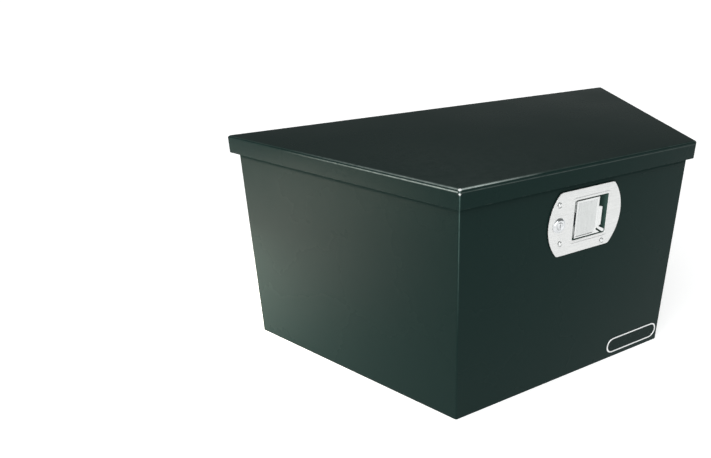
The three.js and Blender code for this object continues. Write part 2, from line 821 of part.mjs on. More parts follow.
// Striker: a plate under the lid with a loop that the bolt goes through
function striker() {
  const roof = lidUnderside - fitGap - latchZ;
  const plateUnder = roof - strikerPlateThickness;
  const reach = boltThickness / 2 + strikerSidePlay + strikerRod;
  const bar = boltBottom - strikerDropPlay - strikerRod;
  const point = (y, z) => new THREE.Vector3(strikerX, y, z);
  const [near, far] = [boltMiddle - reach, boltMiddle + reach];
  const weld = plateUnder + strikerPlateThickness / 2;
  const [nearWeld, farWeld] = [point(near, weld), point(far, weld)];
  const [nearLeg, farLeg] = [point(near, bar + strikerBend), point(far, bar + strikerBend)];
  const [nearBar, farBar] = [point(near + strikerBend, bar), point(far - strikerBend, bar)];
  const loop = new THREE.CurvePath();
  loop.add(new THREE.LineCurve3(nearWeld, nearLeg));
  loop.add(new THREE.QuadraticBezierCurve3(nearLeg, point(near, bar), nearBar));
  loop.add(new THREE.LineCurve3(nearBar, farBar));
  loop.add(new THREE.QuadraticBezierCurve3(farBar, point(far, bar), farLeg));
  loop.add(new THREE.LineCurve3(farLeg, farWeld));
  const ring = new THREE.Shape().absarc(0, 0, strikerRod, 0, full, false);
  const rod = new THREE.ExtrudeGeometry(ring, {
    steps: 2 * smallSides,
    curveSegments: smallSides / 2,
    extrudePath: loop,
    bevelEnabled: false,
  });
  const plate = block(
    [strikerX - strikerPlateLength / 2, strikerX + strikerPlateLength / 2],
    [boltMiddle - strikerPlateWidth / 2, boltMiddle + strikerPlateWidth / 2],
    [plateUnder, roof],
  );
  return join(plate, rod);
}

add(latch, 'latch_gasket', latchGasket(), rubber());
add(latch, 'latch_dish', latchDish(), stainless());
add(latch, 'paddle', paddle(), stainless());
add(latch, 'paddle_pin', paddlePin(), stainless());
add(latch, 'paddle_spring', paddleSpring(), darkSteel());
add(latch, 'latch_bolt', latchBolt(), zincPlate());
add(latch, 'latch_housing', latchHousing(), zincPlate());
add(latch, 'bolt_spring', boltSpring(), darkSteel());
bezelRivetPlaces.forEach(([x, z], i) => {
  add(latch, `bezel_rivet_${i + 1}`, rivet(x, z, bezelFace, sheet), stainless());
});
housingRivets.forEach((x, i) => {
  const back = panBack + fitGap + housingWall;
  add(latch, `housing_rivet_${i + 1}`, rivet(x, housingRivetRise, pocketDepth, back), stainless());
});
add(latch, 'lock_barrel', lockBarrel(), chrome());
add(latch, 'lock_plug', lockPlug(), chrome());
add(latch, 'lock_nut', hexNut(lockNutWidth, sheet, lockNutThickness, lockBarrelRadius), zincPlate());
add(latch, 'lock_cam', lockCam(), zincPlate());
const camBack = camFront + camThickness;
add(latch, 'cam_nut', hexNut(camNutWidth, camBack, camNutThickness, lockTailRadius), zincPlate());
const strikerMesh = add(lid, 'lid_striker', striker(), stainless());
strikerMesh.position.copy(latch.position);

// Gas stays: a tube pinned to the back wall, a rod that slides out of it and a bracket under the lid
const stayFoot = new THREE.Vector2(hingeY - stayFootForward, hingeZ - stayFootDown);
const stayHeadFront = braceWidth / 2 - braceY + stayBraceGap;
const stayHead = new THREE.Vector2(stayHeadFront + stayHeadBracketLength / 2, hingeZ + stayHeadUp);
const stayLength = stayFoot.distanceTo(stayHead);
const stayLean = Math.atan2(stayFoot.x - stayHead.x, stayHead.y - stayFoot.y);

// Each stay hangs just inboard of its bracket, which ends just inboard of the rim
const stayCheek = halfWidthAt(stayHeadFront, rimInner) - staySideClearance - stayBracketFoot;
const stayX = stayCheek - fitGap - stayStudLength - stayEyeThickness / 2;
const eyeSpan = [-stayEyeThickness / 2, stayEyeThickness / 2];

function stayTube() {
  const eye = rodAlongX(stayEyeRadius, eyeSpan, 0, 0, roundSides);
  const tube = rodAlongZ(stayTubeRadius, [stayEyeRadius / 2, stayTubeLength], 0, 0, roundSides);
  const bore = [stayBoreStart, stayTubeLength + cutOverrun];
  const rodBore = rodAlongZ(stayRodRadius + stayRodClearance, bore, 0, 0, roundSides);
  const side = stayTubeRadius + cutOverrun;
  const pin = rodAlongX(stayStudRadius + pinClearance, [-side, side], 0, 0, roundSides);
  const cheeks = [[-side, -stayEyeThickness / 2], [stayEyeThickness / 2, side]].map((across) => (
    block(across, [-side, side], [-side, stayEyeRadius + pinClearance])
  ));
  return cut(join(eye, tube), rodBore, pin, ...cheeks);
}

function stayRod() {
  const rod = rodAlongZ(stayRodRadius, [stayBoreStart + stayRodEndGap, stayLength], 0, 0, roundSides);
  const eye = rodAlongX(stayEyeRadius, eyeSpan, 0, stayLength, roundSides);
  const studSpan = [0, stayEyeThickness / 2 + stayStudLength];
  const stud = rodAlongX(stayStudRadius, studSpan, 0, stayLength, roundSides);
  return join(rod, eye, stud);
}

function stayFootBracket() {
  const wall = halfDepth - sheet - fitGap;
  const halfPlate = stayBracketWidth / 2;
  const cheek = block(
    [stayCheek, stayCheek + stayBracketThickness],
    [stayFoot.x - halfPlate, wall],
    [stayFoot.y - halfPlate, stayFoot.y + halfPlate],
  );
  const foot = block(
    [stayCheek, stayCheek + stayBracketFoot],
    [wall - stayBracketThickness, wall],
    [stayFoot.y - stayBracketFootHeight / 2, stayFoot.y + stayBracketFootHeight / 2],
  );
  const studSpan = [stayX - stayEyeThickness / 2 - stayStudLength / 2, stayCheek + fitGap];
  const stud = rodAlongX(stayStudRadius, studSpan, stayFoot.x, stayFoot.y, roundSides);
  return join(cheek, foot, stud);
}

function stayHeadBracket() {
  const roof = lidUnderside - fitGap;
  const halfPlate = stayHeadBracketLength / 2;
  const cheek = block(
    [stayCheek, stayCheek + stayBracketThickness],
    [stayHead.x - halfPlate, stayHead.x + halfPlate],
    [stayHead.y - stayEyeRadius, roof],
  );
  const foot = block(
    [stayCheek, stayCheek + stayBracketFoot],
    [stayHead.x - halfPlate, stayHead.x + halfPlate],
    [roof - stayBracketThickness, roof],
  );
  return join(cheek, foot);
}

const handed = { right: (geometry) => geometry, left: mirrored };

Object.entries(handed).forEach(([hand, turn]) => {
  const stay = new THREE.Group();
  stay.position.set(hand === 'right' ? stayX : -stayX, stayFoot.x, stayFoot.y);
  stay.rotation.x = stayLean;
  box.add(stay);
  add(stay, `stay_tube_${hand}`, turn(stayTube()), blackPaint());
  add(stay, `stay_rod_${hand}`, turn(stayRod()), chrome());
  add(body, `stay_foot_bracket_${hand}`, turn(stayFootBracket()), zincPlate());
  add(lid, `stay_head_bracket_${hand}`, turn(stayHeadBracket()), zincPlate());
});

export default box;
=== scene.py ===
# Trailer tongue box in its finishes. Metres, +Z up; the narrow front with the latch faces -Y.
import math

import bmesh
import bpy
from mathutils import Matrix, Vector


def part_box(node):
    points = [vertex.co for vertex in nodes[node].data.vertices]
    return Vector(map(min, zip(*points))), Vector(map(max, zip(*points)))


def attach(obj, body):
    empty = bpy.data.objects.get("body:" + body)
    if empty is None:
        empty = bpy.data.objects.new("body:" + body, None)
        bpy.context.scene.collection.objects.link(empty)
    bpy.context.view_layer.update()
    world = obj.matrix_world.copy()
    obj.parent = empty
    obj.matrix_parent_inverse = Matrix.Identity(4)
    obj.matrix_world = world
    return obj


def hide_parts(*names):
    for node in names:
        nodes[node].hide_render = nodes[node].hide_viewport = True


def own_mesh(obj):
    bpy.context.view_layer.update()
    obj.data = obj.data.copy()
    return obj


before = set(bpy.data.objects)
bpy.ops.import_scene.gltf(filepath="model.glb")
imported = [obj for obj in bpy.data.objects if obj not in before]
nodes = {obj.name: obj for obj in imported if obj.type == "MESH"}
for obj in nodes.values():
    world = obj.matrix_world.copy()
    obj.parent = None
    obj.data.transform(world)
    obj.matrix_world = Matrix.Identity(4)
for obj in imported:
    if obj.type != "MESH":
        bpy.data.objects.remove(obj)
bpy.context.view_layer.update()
scene = bpy.context.scene


# Wall: one sheet of 1.6 mm steel, bent round both front corners and mitred to the back, with the
# latch's window and holes cut in the front. It is powder coated black with the rest of the welded
# body; a light line is painted down each front bend as its highlight, and the coat is duller where
# the lid's lip shelters it.
MERGE = 1e-7
SHEET = 0.0016
CUT_EASE = 0.0003
HALF_DEPTH = 0.2165
FRONT_HALF = 0.239
SIDE_SLOPE = 0.202 / 0.433
BEND_RADIUS = 0.004
WALL_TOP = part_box("front_panel")[1].z
LATCH = Vector((0.0055, -HALF_DEPTH, 0.3145))
WINDOW = ((-0.0282, 0.0492), (-0.0352, 0.0392))
LOCK_PLACE = (-0.057, 0.0005)
LOCK_HOLE = 0.0105
RIVET_PLACES = ((-0.058404, 0.036562), (-0.051339, -0.032512), (0.042626, -0.0477))
RIVET_HOLE = 0.0022
CUT_DEPTH = 0.02
COAT_COLOUR = (0.0068, 0.0178, 0.0160, 1)
DUST_COLOUR = (0.10, 0.11, 0.10, 1)
CHIP_COLOUR = (0.21, 0.23, 0.22, 1)
COAT_SHEEN = 0.05
COAT_TINT = (0.95, 1.0, 0.95, 1)
COAT_DUST = 0.10
COAT_WEAR = 0.5
HIGHLIGHT_COLOUR = (0.26, 0.42, 0.38, 1)
BEND_HIGHLIGHT_PLACE = FRONT_HALF - 0.0006
BEND_HIGHLIGHT_HALF = 0.0011
BEND_HIGHLIGHT_LENGTH = 0.24
BEND_HIGHLIGHT_SHARE = 0.28
SHELTER_HEIGHT = 0.3775
SHELTER_REACH = 0.005
SHELTER_DULL = 0.45


def plan_corners(grow=0.0):
    """The corners of the body's plan, drawn out by grow on every side."""
    front, back = -HALF_DEPTH - grow, HALF_DEPTH + grow
    aside = grow * math.hypot(1, SIDE_SLOPE)
    narrow, wide = (FRONT_HALF + (y + HALF_DEPTH) * SIDE_SLOPE + aside for y in (front, back))
    return [(-narrow, front), (narrow, front), (wide, back), (-wide, back)]


def verts_of(result, key="geom"):
    return [item for item in result[key] if isinstance(item, bmesh.types.BMVert)]


def turned(shape, toward):
    """Turns an open sheet's faces round if most of them look away from a direction."""
    facing = sum((face.normal * face.calc_area() for face in shape.faces), Vector())
    if facing.dot(Vector(toward)) < 0:
        bmesh.ops.reverse_faces(shape, faces=shape.faces)


def in_scene(name, data):
    made = bpy.data.objects.new(name, data)
    scene.collection.objects.link(made)
    return made


def as_object(name, shape, toward=None):
    """Turns a shape into an object; an open sheet is told which way it looks."""
    bmesh.ops.remove_doubles(shape, verts=shape.verts, dist=MERGE)
    bmesh.ops.recalc_face_normals(shape, faces=shape.faces)
    if toward:
        turned(shape, toward)
    mesh = bpy.data.meshes.new(name)
    shape.to_mesh(mesh)
    shape.free()
    return in_scene(name, mesh)


def fitted(made, body, material, sharp=32):
    """Smooths a finished piece between its sharp edges and fixes it to a body."""
    made.data.shade_smooth()
    made.data.set_sharp_from_angle(angle=math.radians(sharp))
    made.data.materials.append(material)
    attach(made, body)
    return made


def eased(made, width, angle=40):
    """Breaks a piece's sharp edges, as deburring and a coat of paint do."""
    bevel = made.modifiers.new("eased_edges", "BEVEL")
    bevel.width = width
    bevel.segments = 2
    bevel.limit_method = "ANGLE"
    bevel.angle_limit = math.radians(angle)
    bevel.harden_normals = True
    return made


def stood(place, axis, angle=math.pi / 2):
    """A stand at a place, turned about an axis."""
    return Matrix.Translation(place) @ Matrix.Rotation(angle, 4, axis)


def bar(shape, stand, radius, length, segments):
    """A round bar along its stand's own Z axis."""
    bmesh.ops.create_cone(shape, cap_ends=True, segments=segments, radius1=radius, radius2=radius,
                          depth=length, matrix=stand)


def block(shape, low, high):
    """A block between two opposite corners."""
    low, high = Vector(low), Vector(high)
    stand = Matrix.Translation((low + high) / 2) @ Matrix.Diagonal((*(high - low), 1))
    bmesh.ops.create_cube(shape, size=1, matrix=stand)


def rounded(shape, parts, offset, segments, affect="EDGES"):
    bmesh.ops.bevel(shape, geom=parts, offset=offset, offset_type="OFFSET", segments=segments,
                    profile=0.5, affect=affect, material=-1)


def touching(faces):
    """Faces with their own corners and edges."""
    verts = {vert for face in faces for vert in face.verts}
    edges = {edge for face in faces for edge in face.edges}
    return list(verts) + list(edges) + list(faces)


def carved(made, cutter):
    """Cuts a tool shape out of a piece for good, and scraps the tool."""
    tool = as_object("tool", cutter)
    cut = made.modifiers.new("cut", "BOOLEAN")
    cut.operation = "DIFFERENCE"
    cut.solver = "EXACT"
    cut.object = tool
    ready = made.evaluated_get(bpy.context.evaluated_depsgraph_get())
    made.data = bpy.data.meshes.new_from_object(ready)
    made.modifiers.clear()
    bpy.data.objects.remove(tool)
    return made


def node(tree, kind, inputs=None, **settings):
    """A shader node with its inputs set to values or joined to other nodes."""
    made = tree.nodes.new("ShaderNode" + kind)
    for key, value in settings.items():
        setattr(made, key, value)
    for key, value in (inputs or {}).items():
        if isinstance(value, bpy.types.NodeSocket):
            tree.links.new(value, made.inputs[key])
        else:
            made.inputs[key].default_value = value
    return made


def object_place(tree):
    return node(tree, "TexCoord").outputs["Object"]


def noise(tree, scale, detail):
    """A cloudy noise that stays with the piece."""
    sockets = {"Vector": object_place(tree), "Scale": scale, "Detail": detail}
    return node(tree, "TexNoise", sockets).outputs[0]


def mixed(tree, share, first, second):
    """A colour between two, by a mask."""
    made = node(tree, "Mix", {0: share, 6: first, 7: second}, data_type="RGBA")
    return made.outputs[2]


def total(tree, first, second, clamp=False):
    made = node(tree, "Math", {0: first, 1: second}, operation="ADD", use_clamp=clamp)
    return made.outputs[0]


def difference(tree, first, second):
    return node(tree, "Math", {0: first, 1: second}, operation="SUBTRACT").outputs[0]


def product(tree, first, second):
    return node(tree, "Math", {0: first, 1: second}, operation="MULTIPLY").outputs[0]


def magnitude(tree, value):
    """A value without its sign."""
    return node(tree, "Math", {0: value}, operation="ABSOLUTE").outputs[0]


def spread(tree, value, low, high, to_low=0.0, to_high=1.0):
    """Carries a value's range over to another range."""
    made = node(tree, "MapRange", {0: value, 1: low, 2: high, 3: to_low, 4: to_high})
    return made.outputs[0]


def effect(name, inputs, outputs):
    """A shader node group with named sockets, its inputs and its outputs."""
    group = bpy.data.node_groups.new(name, "ShaderNodeTree")
    for label, value in inputs.items():
        kind = "NodeSocketVector" if isinstance(value, tuple) else "NodeSocketFloat"
        group.interface.new_socket(label, in_out="INPUT", socket_type=kind).default_value = value
    for label in outputs:
        group.interface.new_socket(label, in_out="OUTPUT", socket_type="NodeSocketFloat")
    given = group.nodes.new("NodeGroupInput").outputs
    result = group.nodes.new("NodeGroupOutput").inputs
    return group, given, result


def use(tree, group, inputs):
    return node(tree, "Group", inputs, node_tree=group).outputs


def shader_of(material):
    return material.node_tree.nodes["Principled BSDF"].inputs


def blank_finish(name, roughness, metallic=0.0):
    material = bpy.data.materials.new(name)
    material.use_nodes = True
    shader_of(material)["Roughness"].default_value = roughness
    shader_of(material)["Metallic"].default_value = metallic
    return material, material.node_tree


def surfaced(material, colour, gloss, height, distance, strength):
    """Gives a finish its colour, its roughness and the small relief of a height."""
    tree, shader = material.node_tree, shader_of(material)
    bump = node(tree, "Bump", {"Height": height, "Distance": distance, "Strength": strength})
    tree.links.new(colour, shader["Base Color"])
    tree.links.new(gloss, shader["Roughness"])
    tree.links.new(bump.outputs[0], shader["Normal"])
    return material


def orange_peel_effect():
    """The soft dimples of a baked powder coat, a fine one over a broad one."""
    group, given, result = effect("orange_peel", {"Grain": 520.0}, ["Height"])
    fine = noise(group, given["Grain"], 1.5)
    broad_grain = product(group, given["Grain"], 0.22)
    half_broad = product(group, noise(group, broad_grain, 1.0), 0.6)
    group.links.new(total(group, fine, half_broad), result["Height"])
    return group


def settled_dust_effect():
    """Dust on what looks up, in clouds, thinning out as a face turns upright."""
    group, given, result = effect("settled_dust", {"Amount": 0.3, "Cloud": 9.0}, ["Dust"])
    facing = node(group, "NewGeometry").outputs["Normal"]
    up = node(group, "SeparateXYZ", {0: facing}).outputs[2]
    lying = spread(group, up, 0.55, 1.0)
    patches = spread(group, noise(group, given["Cloud"], 7.0), 0.42, 0.75)
    settled = product(group, lying, patches)
    group.links.new(product(group, settled, given["Amount"]), result["Dust"])
    return group


def edge_wear_effect():
    """Rubbed edges: where the rounded normal leaves the true one, broken up by a noise."""
    sockets = {"Radius": 0.0012, "Amount": 0.5, "Break Up": 160.0}
    group, given, result = effect("edge_wear", sockets, ["Wear"])
    true = node(group, "NewGeometry").outputs["Normal"]
    soft = node(group, "Bevel", {"Radius": given["Radius"]}, samples=4).outputs[0]
    near = node(group, "VectorMath", {0: true, 1: soft}, operation="DOT_PRODUCT")
    edge = spread(group, near.outputs["Value"], 0.995, 0.93)
    broken = spread(group, noise(group, given["Break Up"], 4.0), 0.48, 0.62)
    worn = product(group, edge, broken)
    group.links.new(product(group, worn, given["Amount"]), result["Wear"])
    return group


def painted_highlight_effect():
    """A painted highlight: a thin light line along a fold, narrow across it, a little broken, and fading
    along it.
    """
    sockets = {"Off": 0.0, "Half Width": 0.001, "Along": 0.0, "Gone": 0.4, "Amount": 0.5}
    group, given, result = effect("painted_highlight", sockets, ["Line"])
    core = spread(group, magnitude(group, given["Off"]), given["Half Width"], 0.0)
    left_over = spread(group, given["Along"], given["Gone"], 0.0)
    chips = noise(group, 90.0, 3.0)
    line = product(group, core, product(group, left_over, spread(group, chips, 0.3, 0.6, 0.6, 1.0)))
    group.links.new(product(group, line, given["Amount"]), result["Line"])
    return group


orange_peel = orange_peel_effect()
settled_dust = settled_dust_effect()
edge_wear = edge_wear_effect()
painted_highlight = painted_highlight_effect()


def powder_coat(name, dust=COAT_DUST, wear=COAT_WEAR, colour=COAT_COLOUR):
    """Baked powder coat: faint dimples, wiped gloss, dust on its flats and rubbed edges."""
    material, tree = blank_finish(name, 0.34)
    peel = use(tree, orange_peel, {"Grain": 520.0})["Height"]
    lying = use(tree, settled_dust, {"Amount": dust})["Dust"]
    rubbed = use(tree, edge_wear, {"Amount": wear})["Wear"]
    dusty = mixed(tree, lying, colour, DUST_COLOUR)
    wiped = noise(tree, 5.0, 5.0)
    gloss = total(tree, spread(tree, wiped, 0.3, 0.7, 0.24, 0.31), lying)
    surfaced(material, mixed(tree, rubbed, dusty, CHIP_COLOUR), gloss, peel, 0.00003, 0.5)
    shader_of(material)["Specular IOR Level"].default_value = COAT_SHEEN
    shader_of(material)["Specular Tint"].default_value = COAT_TINT
    return material


def laid_over(material, mask, colour):
    """Lays one more colour over a finish where a mask says so."""
    tree = material.node_tree
    base = shader_of(material)["Base Color"]
    tree.links.new(mixed(tree, mask, base.links[0].from_socket, colour), base)


def dulled(material, mask, extra):
    """Makes a finish rougher where a mask says so."""
    tree = material.node_tree
    rough = shader_of(material)["Roughness"]
    more = product(tree, mask, extra)
    tree.links.new(total(tree, rough.links[0].from_socket, more), rough)


def wall_coat_finish():
    material = powder_coat("wall_powder_coat")
    tree = material.node_tree
    place = node(tree, "SeparateXYZ", {0: object_place(tree)}).outputs
    across, up = place["X"], place["Z"]
    # Painted highlight: a light line laid down each front bend, fading from the top towards the floor.
    off_bend = difference(tree, magnitude(tree, across), BEND_HIGHLIGHT_PLACE)
    line = use(tree, painted_highlight, {"Off": off_bend, "Half Width": BEND_HIGHLIGHT_HALF,
                                   "Along": difference(tree, WALL_TOP, up), "Gone": BEND_HIGHLIGHT_LENGTH,
                                   "Amount": BEND_HIGHLIGHT_SHARE})
    laid_over(material, line["Line"], HIGHLIGHT_COLOUR)
    off_shelter = magnitude(tree, difference(tree, up, SHELTER_HEIGHT))
    dulled(material, spread(tree, off_shelter, SHELTER_REACH, SHELTER_REACH / 4), SHELTER_DULL)
    return material


wall_coat = wall_coat_finish()
wall = bmesh.new()
narrow_left, narrow_right, wide_right, wide_left = plan_corners()
path = [wall.verts.new((x, y, 0)) for x, y in (wide_left, narrow_left, narrow_right, wide_right)]
rail = [wall.edges.new(pair) for pair in zip(path, path[1:])]
lifted = bmesh.ops.extrude_edge_only(wall, edges=rail)
bmesh.ops.translate(wall, vec=(0, 0, WALL_TOP), verts=verts_of(lifted))
folds = [edge for edge in wall.edges if len(edge.link_faces) == 2]
fold_turn = math.pi / 2 - math.atan(SIDE_SLOPE)
fold_reach = BEND_RADIUS * math.tan(fold_turn / 2)
rounded(wall, folds, fold_reach, 10)
for side in (1, -1):
    run = Vector((side * SIDE_SLOPE, 1, 0)).normalized()
    ends = [vert for vert in wall.verts if vert.co.y > HALF_DEPTH - SHEET and vert.co.x * side > 0]
    bmesh.ops.translate(wall, vec=run * SHEET, verts=ends)
bmesh.ops.recalc_face_normals(wall, faces=wall.faces)
turned(wall, (0, -1, 0))
bmesh.ops.solidify(wall, geom=wall.faces[:], thickness=SHEET)
for side in (1, -1):
    outer = Vector((side * plan_corners()[2][0], HALF_DEPTH, 0))
    inner = Vector((side * plan_corners(-SHEET)[2][0], HALF_DEPTH - SHEET, 0))
    mitre = (outer - inner).normalized()
    across = Vector((-side * mitre.y, side * mitre.x, 0))
    panel = [face for face in wall.faces
             if all(vert.co.x * side > FRONT_HALF / 2 for vert in face.verts)]
    trimmed = bmesh.ops.bisect_plane(wall, geom=touching(panel), plane_co=outer, plane_no=across,
                                     clear_outer=True)
    cut_edges = [item for item in trimmed["geom_cut"] if isinstance(item, bmesh.types.BMEdge)]
    bmesh.ops.contextual_create(wall, geom=cut_edges)
wall = as_object("wall", wall)

window = bmesh.new()
(window_left, window_right), (window_foot, window_head) = WINDOW
window_reach = Vector((0, CUT_DEPTH / 2, 0))
block(window, LATCH + Vector((window_left, 0, window_foot)) - window_reach,
      LATCH + Vector((window_right, 0, window_head)) + window_reach)
for (x, z), radius in [(LOCK_PLACE, LOCK_HOLE)] + [(place, RIVET_HOLE) for place in RIVET_PLACES]:
    bar(window, stood(LATCH + Vector((x, 0, z)), "X"), radius, CUT_DEPTH, 32)
fitted(carved(wall, window), "box", wall_coat)
eased(wall, CUT_EASE, 50)
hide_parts("front_panel", "left_side_panel", "right_side_panel")


# Back and floor: two flat sheets welded to the wall, the back mitred at its ends and the floor let in
# between, with the angle rim that is welded round the mouth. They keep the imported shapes; only their
# cut edges are eased.
def dressed(names, material, ease):
    """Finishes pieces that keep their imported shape."""
    for name in names:
        for place in nodes[name].material_slots:
            place.material = material
        weld = nodes[name].modifiers.new("merged_corners", "WELD")
        weld.merge_threshold = 10 * MERGE
        flats = nodes[name].modifiers.new("whole_flats", "DECIMATE")
        flats.decimate_type = "DISSOLVE"
        flats.angle_limit = math.radians(0.5)
        eased(nodes[name], ease, 30)


body_coat = powder_coat("body_powder_coat")
rims = [name for name in nodes if name.startswith("rim_")]
dressed(["back_panel", "floor_panel"] + rims, body_coat, CUT_EASE)


# Weather seal: one strip of black EPDM with a round bulb, bonded on the rim round the whole mouth.
# The bulb is what the lid closes on; its hollow shows nowhere and isn't made.
SEAL_MIDDLE = -0.0092
SEAL_HALF = 0.004
SEAL_BEND = 0.005
MITRE_LENGTH = 0.05
SEAL_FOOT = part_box("lid_seal_front")[0].z
SEAL_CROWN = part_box("lid_seal_front")[1].z
RUBBER_COLOUR = (0.012, 0.0125, 0.0125, 1)
CHALK_COLOUR = (0.05, 0.05, 0.048, 1)


def carried_round(shape, section, closed):
    """Carries a section of (grow, z) points round the plan, mitred at its corners."""
    rings = []
    for grow, z in section:
        ring = [shape.verts.new((x, y, z)) for x, y in plan_corners(grow)]
        rings.append([shape.edges.new((ring[i], ring[(i + 1) % 4])) for i in range(4)])
    for first, second in zip(rings, rings[1:] + (rings[:1] if closed else [])):
        bmesh.ops.bridge_loops(shape, edges=first + second)
    return rings


def corner_edges(shape):
    """The short edges that run along the mitres, not round the plan."""
    return [edge for edge in shape.edges if edge.calc_length() < MITRE_LENGTH]


def rubber_finish():
    material, tree = blank_finish("seal_rubber", 0.7)
    bloom = noise(tree, 60.0, 6.0)
    grain = noise(tree, 2200.0, 2.0)
    colour = mixed(tree, spread(tree, bloom, 0.5, 0.8, 0.0, 0.5), RUBBER_COLOUR, CHALK_COLOUR)
    gloss = spread(tree, bloom, 0.3, 0.7, 0.62, 0.8)
    return surfaced(material, colour, gloss, grain, 0.00004, 0.6)


rubber = rubber_finish()
seal = bmesh.new()
section = [(SEAL_MIDDLE + SEAL_HALF, SEAL_FOOT)]
for step in range(13):
    angle = math.pi * step / 12
    rise = SEAL_CROWN - SEAL_HALF + SEAL_HALF * math.sin(angle)
    section.append((SEAL_MIDDLE + SEAL_HALF * math.cos(angle), rise))
section.append((SEAL_MIDDLE - SEAL_HALF, SEAL_FOOT))
carried_round(seal, section, True)
rounded(seal, corner_edges(seal), SEAL_BEND, 5)
seal = fitted(as_object("lid_seal", seal), "box", rubber)
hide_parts("lid_seal_front", "lid_seal_right", "lid_seal_back", "lid_seal_left")


# Lid: one sheet with a lip folded down on each side over a 4 mm radius. The corners are welded and
# ground round; at the near one light spots are painted on as glints, and light lines are painted
# along the folds beside it as their highlights.
LID_OVERHANG = 0.010
LID_CORNER = 0.0022
LID_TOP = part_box("lid_top")[1].z
LID_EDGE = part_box("lid_lip_front")[0].z
GLINT_COLOUR = (0.72, 0.74, 0.74, 1)
FOLD_HIGHLIGHT_COLOUR = (0.52, 0.60, 0.57, 1)


def far_from(tree, point):
    """How far each place on the piece lies from a point."""
    ends = {0: object_place(tree), 1: point}
    return node(tree, "VectorMath", ends, operation="DISTANCE").outputs["Value"]


def glint_spot_effect():
    """A ragged light spot round a point, painted as a glint."""
    group, given, result = effect("glint_spot", {"Centre": (0, 0, 0), "Reach": 0.003}, ["Bare"])
    gap = far_from(group, given["Centre"])
    jagged = noise(group, 420.0, 2.0)
    limit = product(group, given["Reach"], spread(group, jagged, 0.3, 0.7, 0.75, 1.15))
    group.links.new(spread(group, difference(group, limit, gap), 0.0, 0.0014), result["Bare"])
    return group


def thickened(made, thickness):
    """Gives an open sheet its thickness, inward from the outer face."""
    sheet = made.modifiers.new("sheet", "SOLIDIFY")
    sheet.thickness = thickness
    sheet.offset = -1
    sheet.use_even_offset = True


def lid_coat_finish():
    """The lid's coat, with light lines painted along its folds from the near corner as highlights, and light
    spots painted at that corner as glints.
    """
    material = powder_coat("lid_powder_coat", 0.02, 0.2)
    tree = material.node_tree
    across, back, up = node(tree, "SeparateXYZ", {0: object_place(tree)}).outputs
    corner = Vector((*plan_corners(LID_OVERHANG)[0], LID_TOP))
    away = far_from(tree, corner)
    on_side = spread(tree, back, corner.y + 0.002, corner.y + 0.003)
    on_front = difference(tree, 1.0, on_side)
    below = difference(tree, LID_TOP, up)
    # Each painted highlight line: how far under the top, half its width, where along the fold it ends, its
    # strength.
    for drop, half, gone, amount in ((0.0012, 0.0013, 0.34, product(tree, on_side, 0.42)),
                                     (0.0050, 0.0015, 0.36, product(tree, on_side, 0.62)),
                                     (0.0013, 0.0013, 0.15, on_front),
                                     (0.0062, 0.0012, 1.6, product(tree, on_front, 0.10)),
                                     (0.0010, 0.0010, 4.0, 0.06)):
        line = use(tree, painted_highlight, {"Off": difference(tree, below, drop), "Half Width": half,
                                       "Along": away, "Gone": gone, "Amount": amount})
        laid_over(material, line["Line"], FOLD_HIGHLIGHT_COLOUR)
    # Painted highlight: a light line down the near corner's upright fold.
    off_corner = difference(tree, across, corner.x + 0.0007)
    share = product(tree, spread(tree, below, 0.001, 0.003), 0.28)
    upright = use(tree, painted_highlight, {"Off": off_corner, "Half Width": 0.0012, "Along": away,
                                      "Gone": 0.2, "Amount": share})
    laid_over(material, upright["Line"], HIGHLIGHT_COLOUR)
    # Painted glints: two ragged light spots at the near corner.
    for drop, reach in ((0.0005, 0.0036), (0.0080, 0.0024)):
        spot = corner + Vector((0.0008, 0.0008, -drop))
        laid_over(material, use(tree, glint_spot, {"Centre": spot, "Reach": reach})["Bare"], GLINT_COLOUR)
    return material


glint_spot = glint_spot_effect()
lid = bmesh.new()
fold = [(LID_OVERHANG - BEND_RADIUS, LID_TOP)]
for step in range(1, 9):
    angle = math.pi / 2 * step / 8
    grow = LID_OVERHANG - BEND_RADIUS * (1 - math.sin(angle))
    fold.append((grow, LID_TOP - BEND_RADIUS * (1 - math.cos(angle))))
fold.append((LID_OVERHANG, LID_EDGE))
lid_rings = carried_round(lid, fold, False)
bmesh.ops.contextual_create(lid, geom=lid_rings[0])
rounded(lid, corner_edges(lid), LID_CORNER, 5)
lid = as_object("lid_skin", lid, (0, 0, 1))
thickened(lid, SHEET)
fitted(lid, "lid", lid_coat_finish())
eased(lid, CUT_EASE, 60)
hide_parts("lid_top", "lid_lip_front", "lid_lip_right", "lid_lip_back", "lid_lip_left")


# Braces: two hat sections of zinc-plated steel, bonded under the lid so that it doesn't drum. The
# brackets of the stays are plated alike.
ZINC_COLOUR = (0.36, 0.38, 0.385, 1)
ZINC_DARK = (0.2, 0.215, 0.22, 1)
ZINC_EASE = 0.0004


def zinc_finish():
    material, tree = blank_finish("zinc_plate", 0.42, 0.85)
    cells = node(tree, "TexVoronoi", {"Vector": object_place(tree), "Scale": 220.0})
    spangle = node(tree, "SeparateColor", {0: cells.outputs["Color"]}).outputs[0]
    cloud = noise(tree, 35.0, 6.0)
    shade = total(tree, product(tree, spangle, 0.35), spread(tree, cloud, 0.35, 0.7, 0.0, 0.6))
    gloss = spread(tree, shade, 0.0, 1.0, 0.34, 0.55)
    return surfaced(material, mixed(tree, shade, ZINC_COLOUR, ZINC_DARK), gloss, cloud, 0.00005, 0.4)


zinc = zinc_finish()
brackets = [name for name in nodes if name.startswith("stay_") and name.split("_")[2] == "bracket"]
dressed(["lid_brace_front", "lid_brace_rear"] + brackets, zinc, ZINC_EASE)


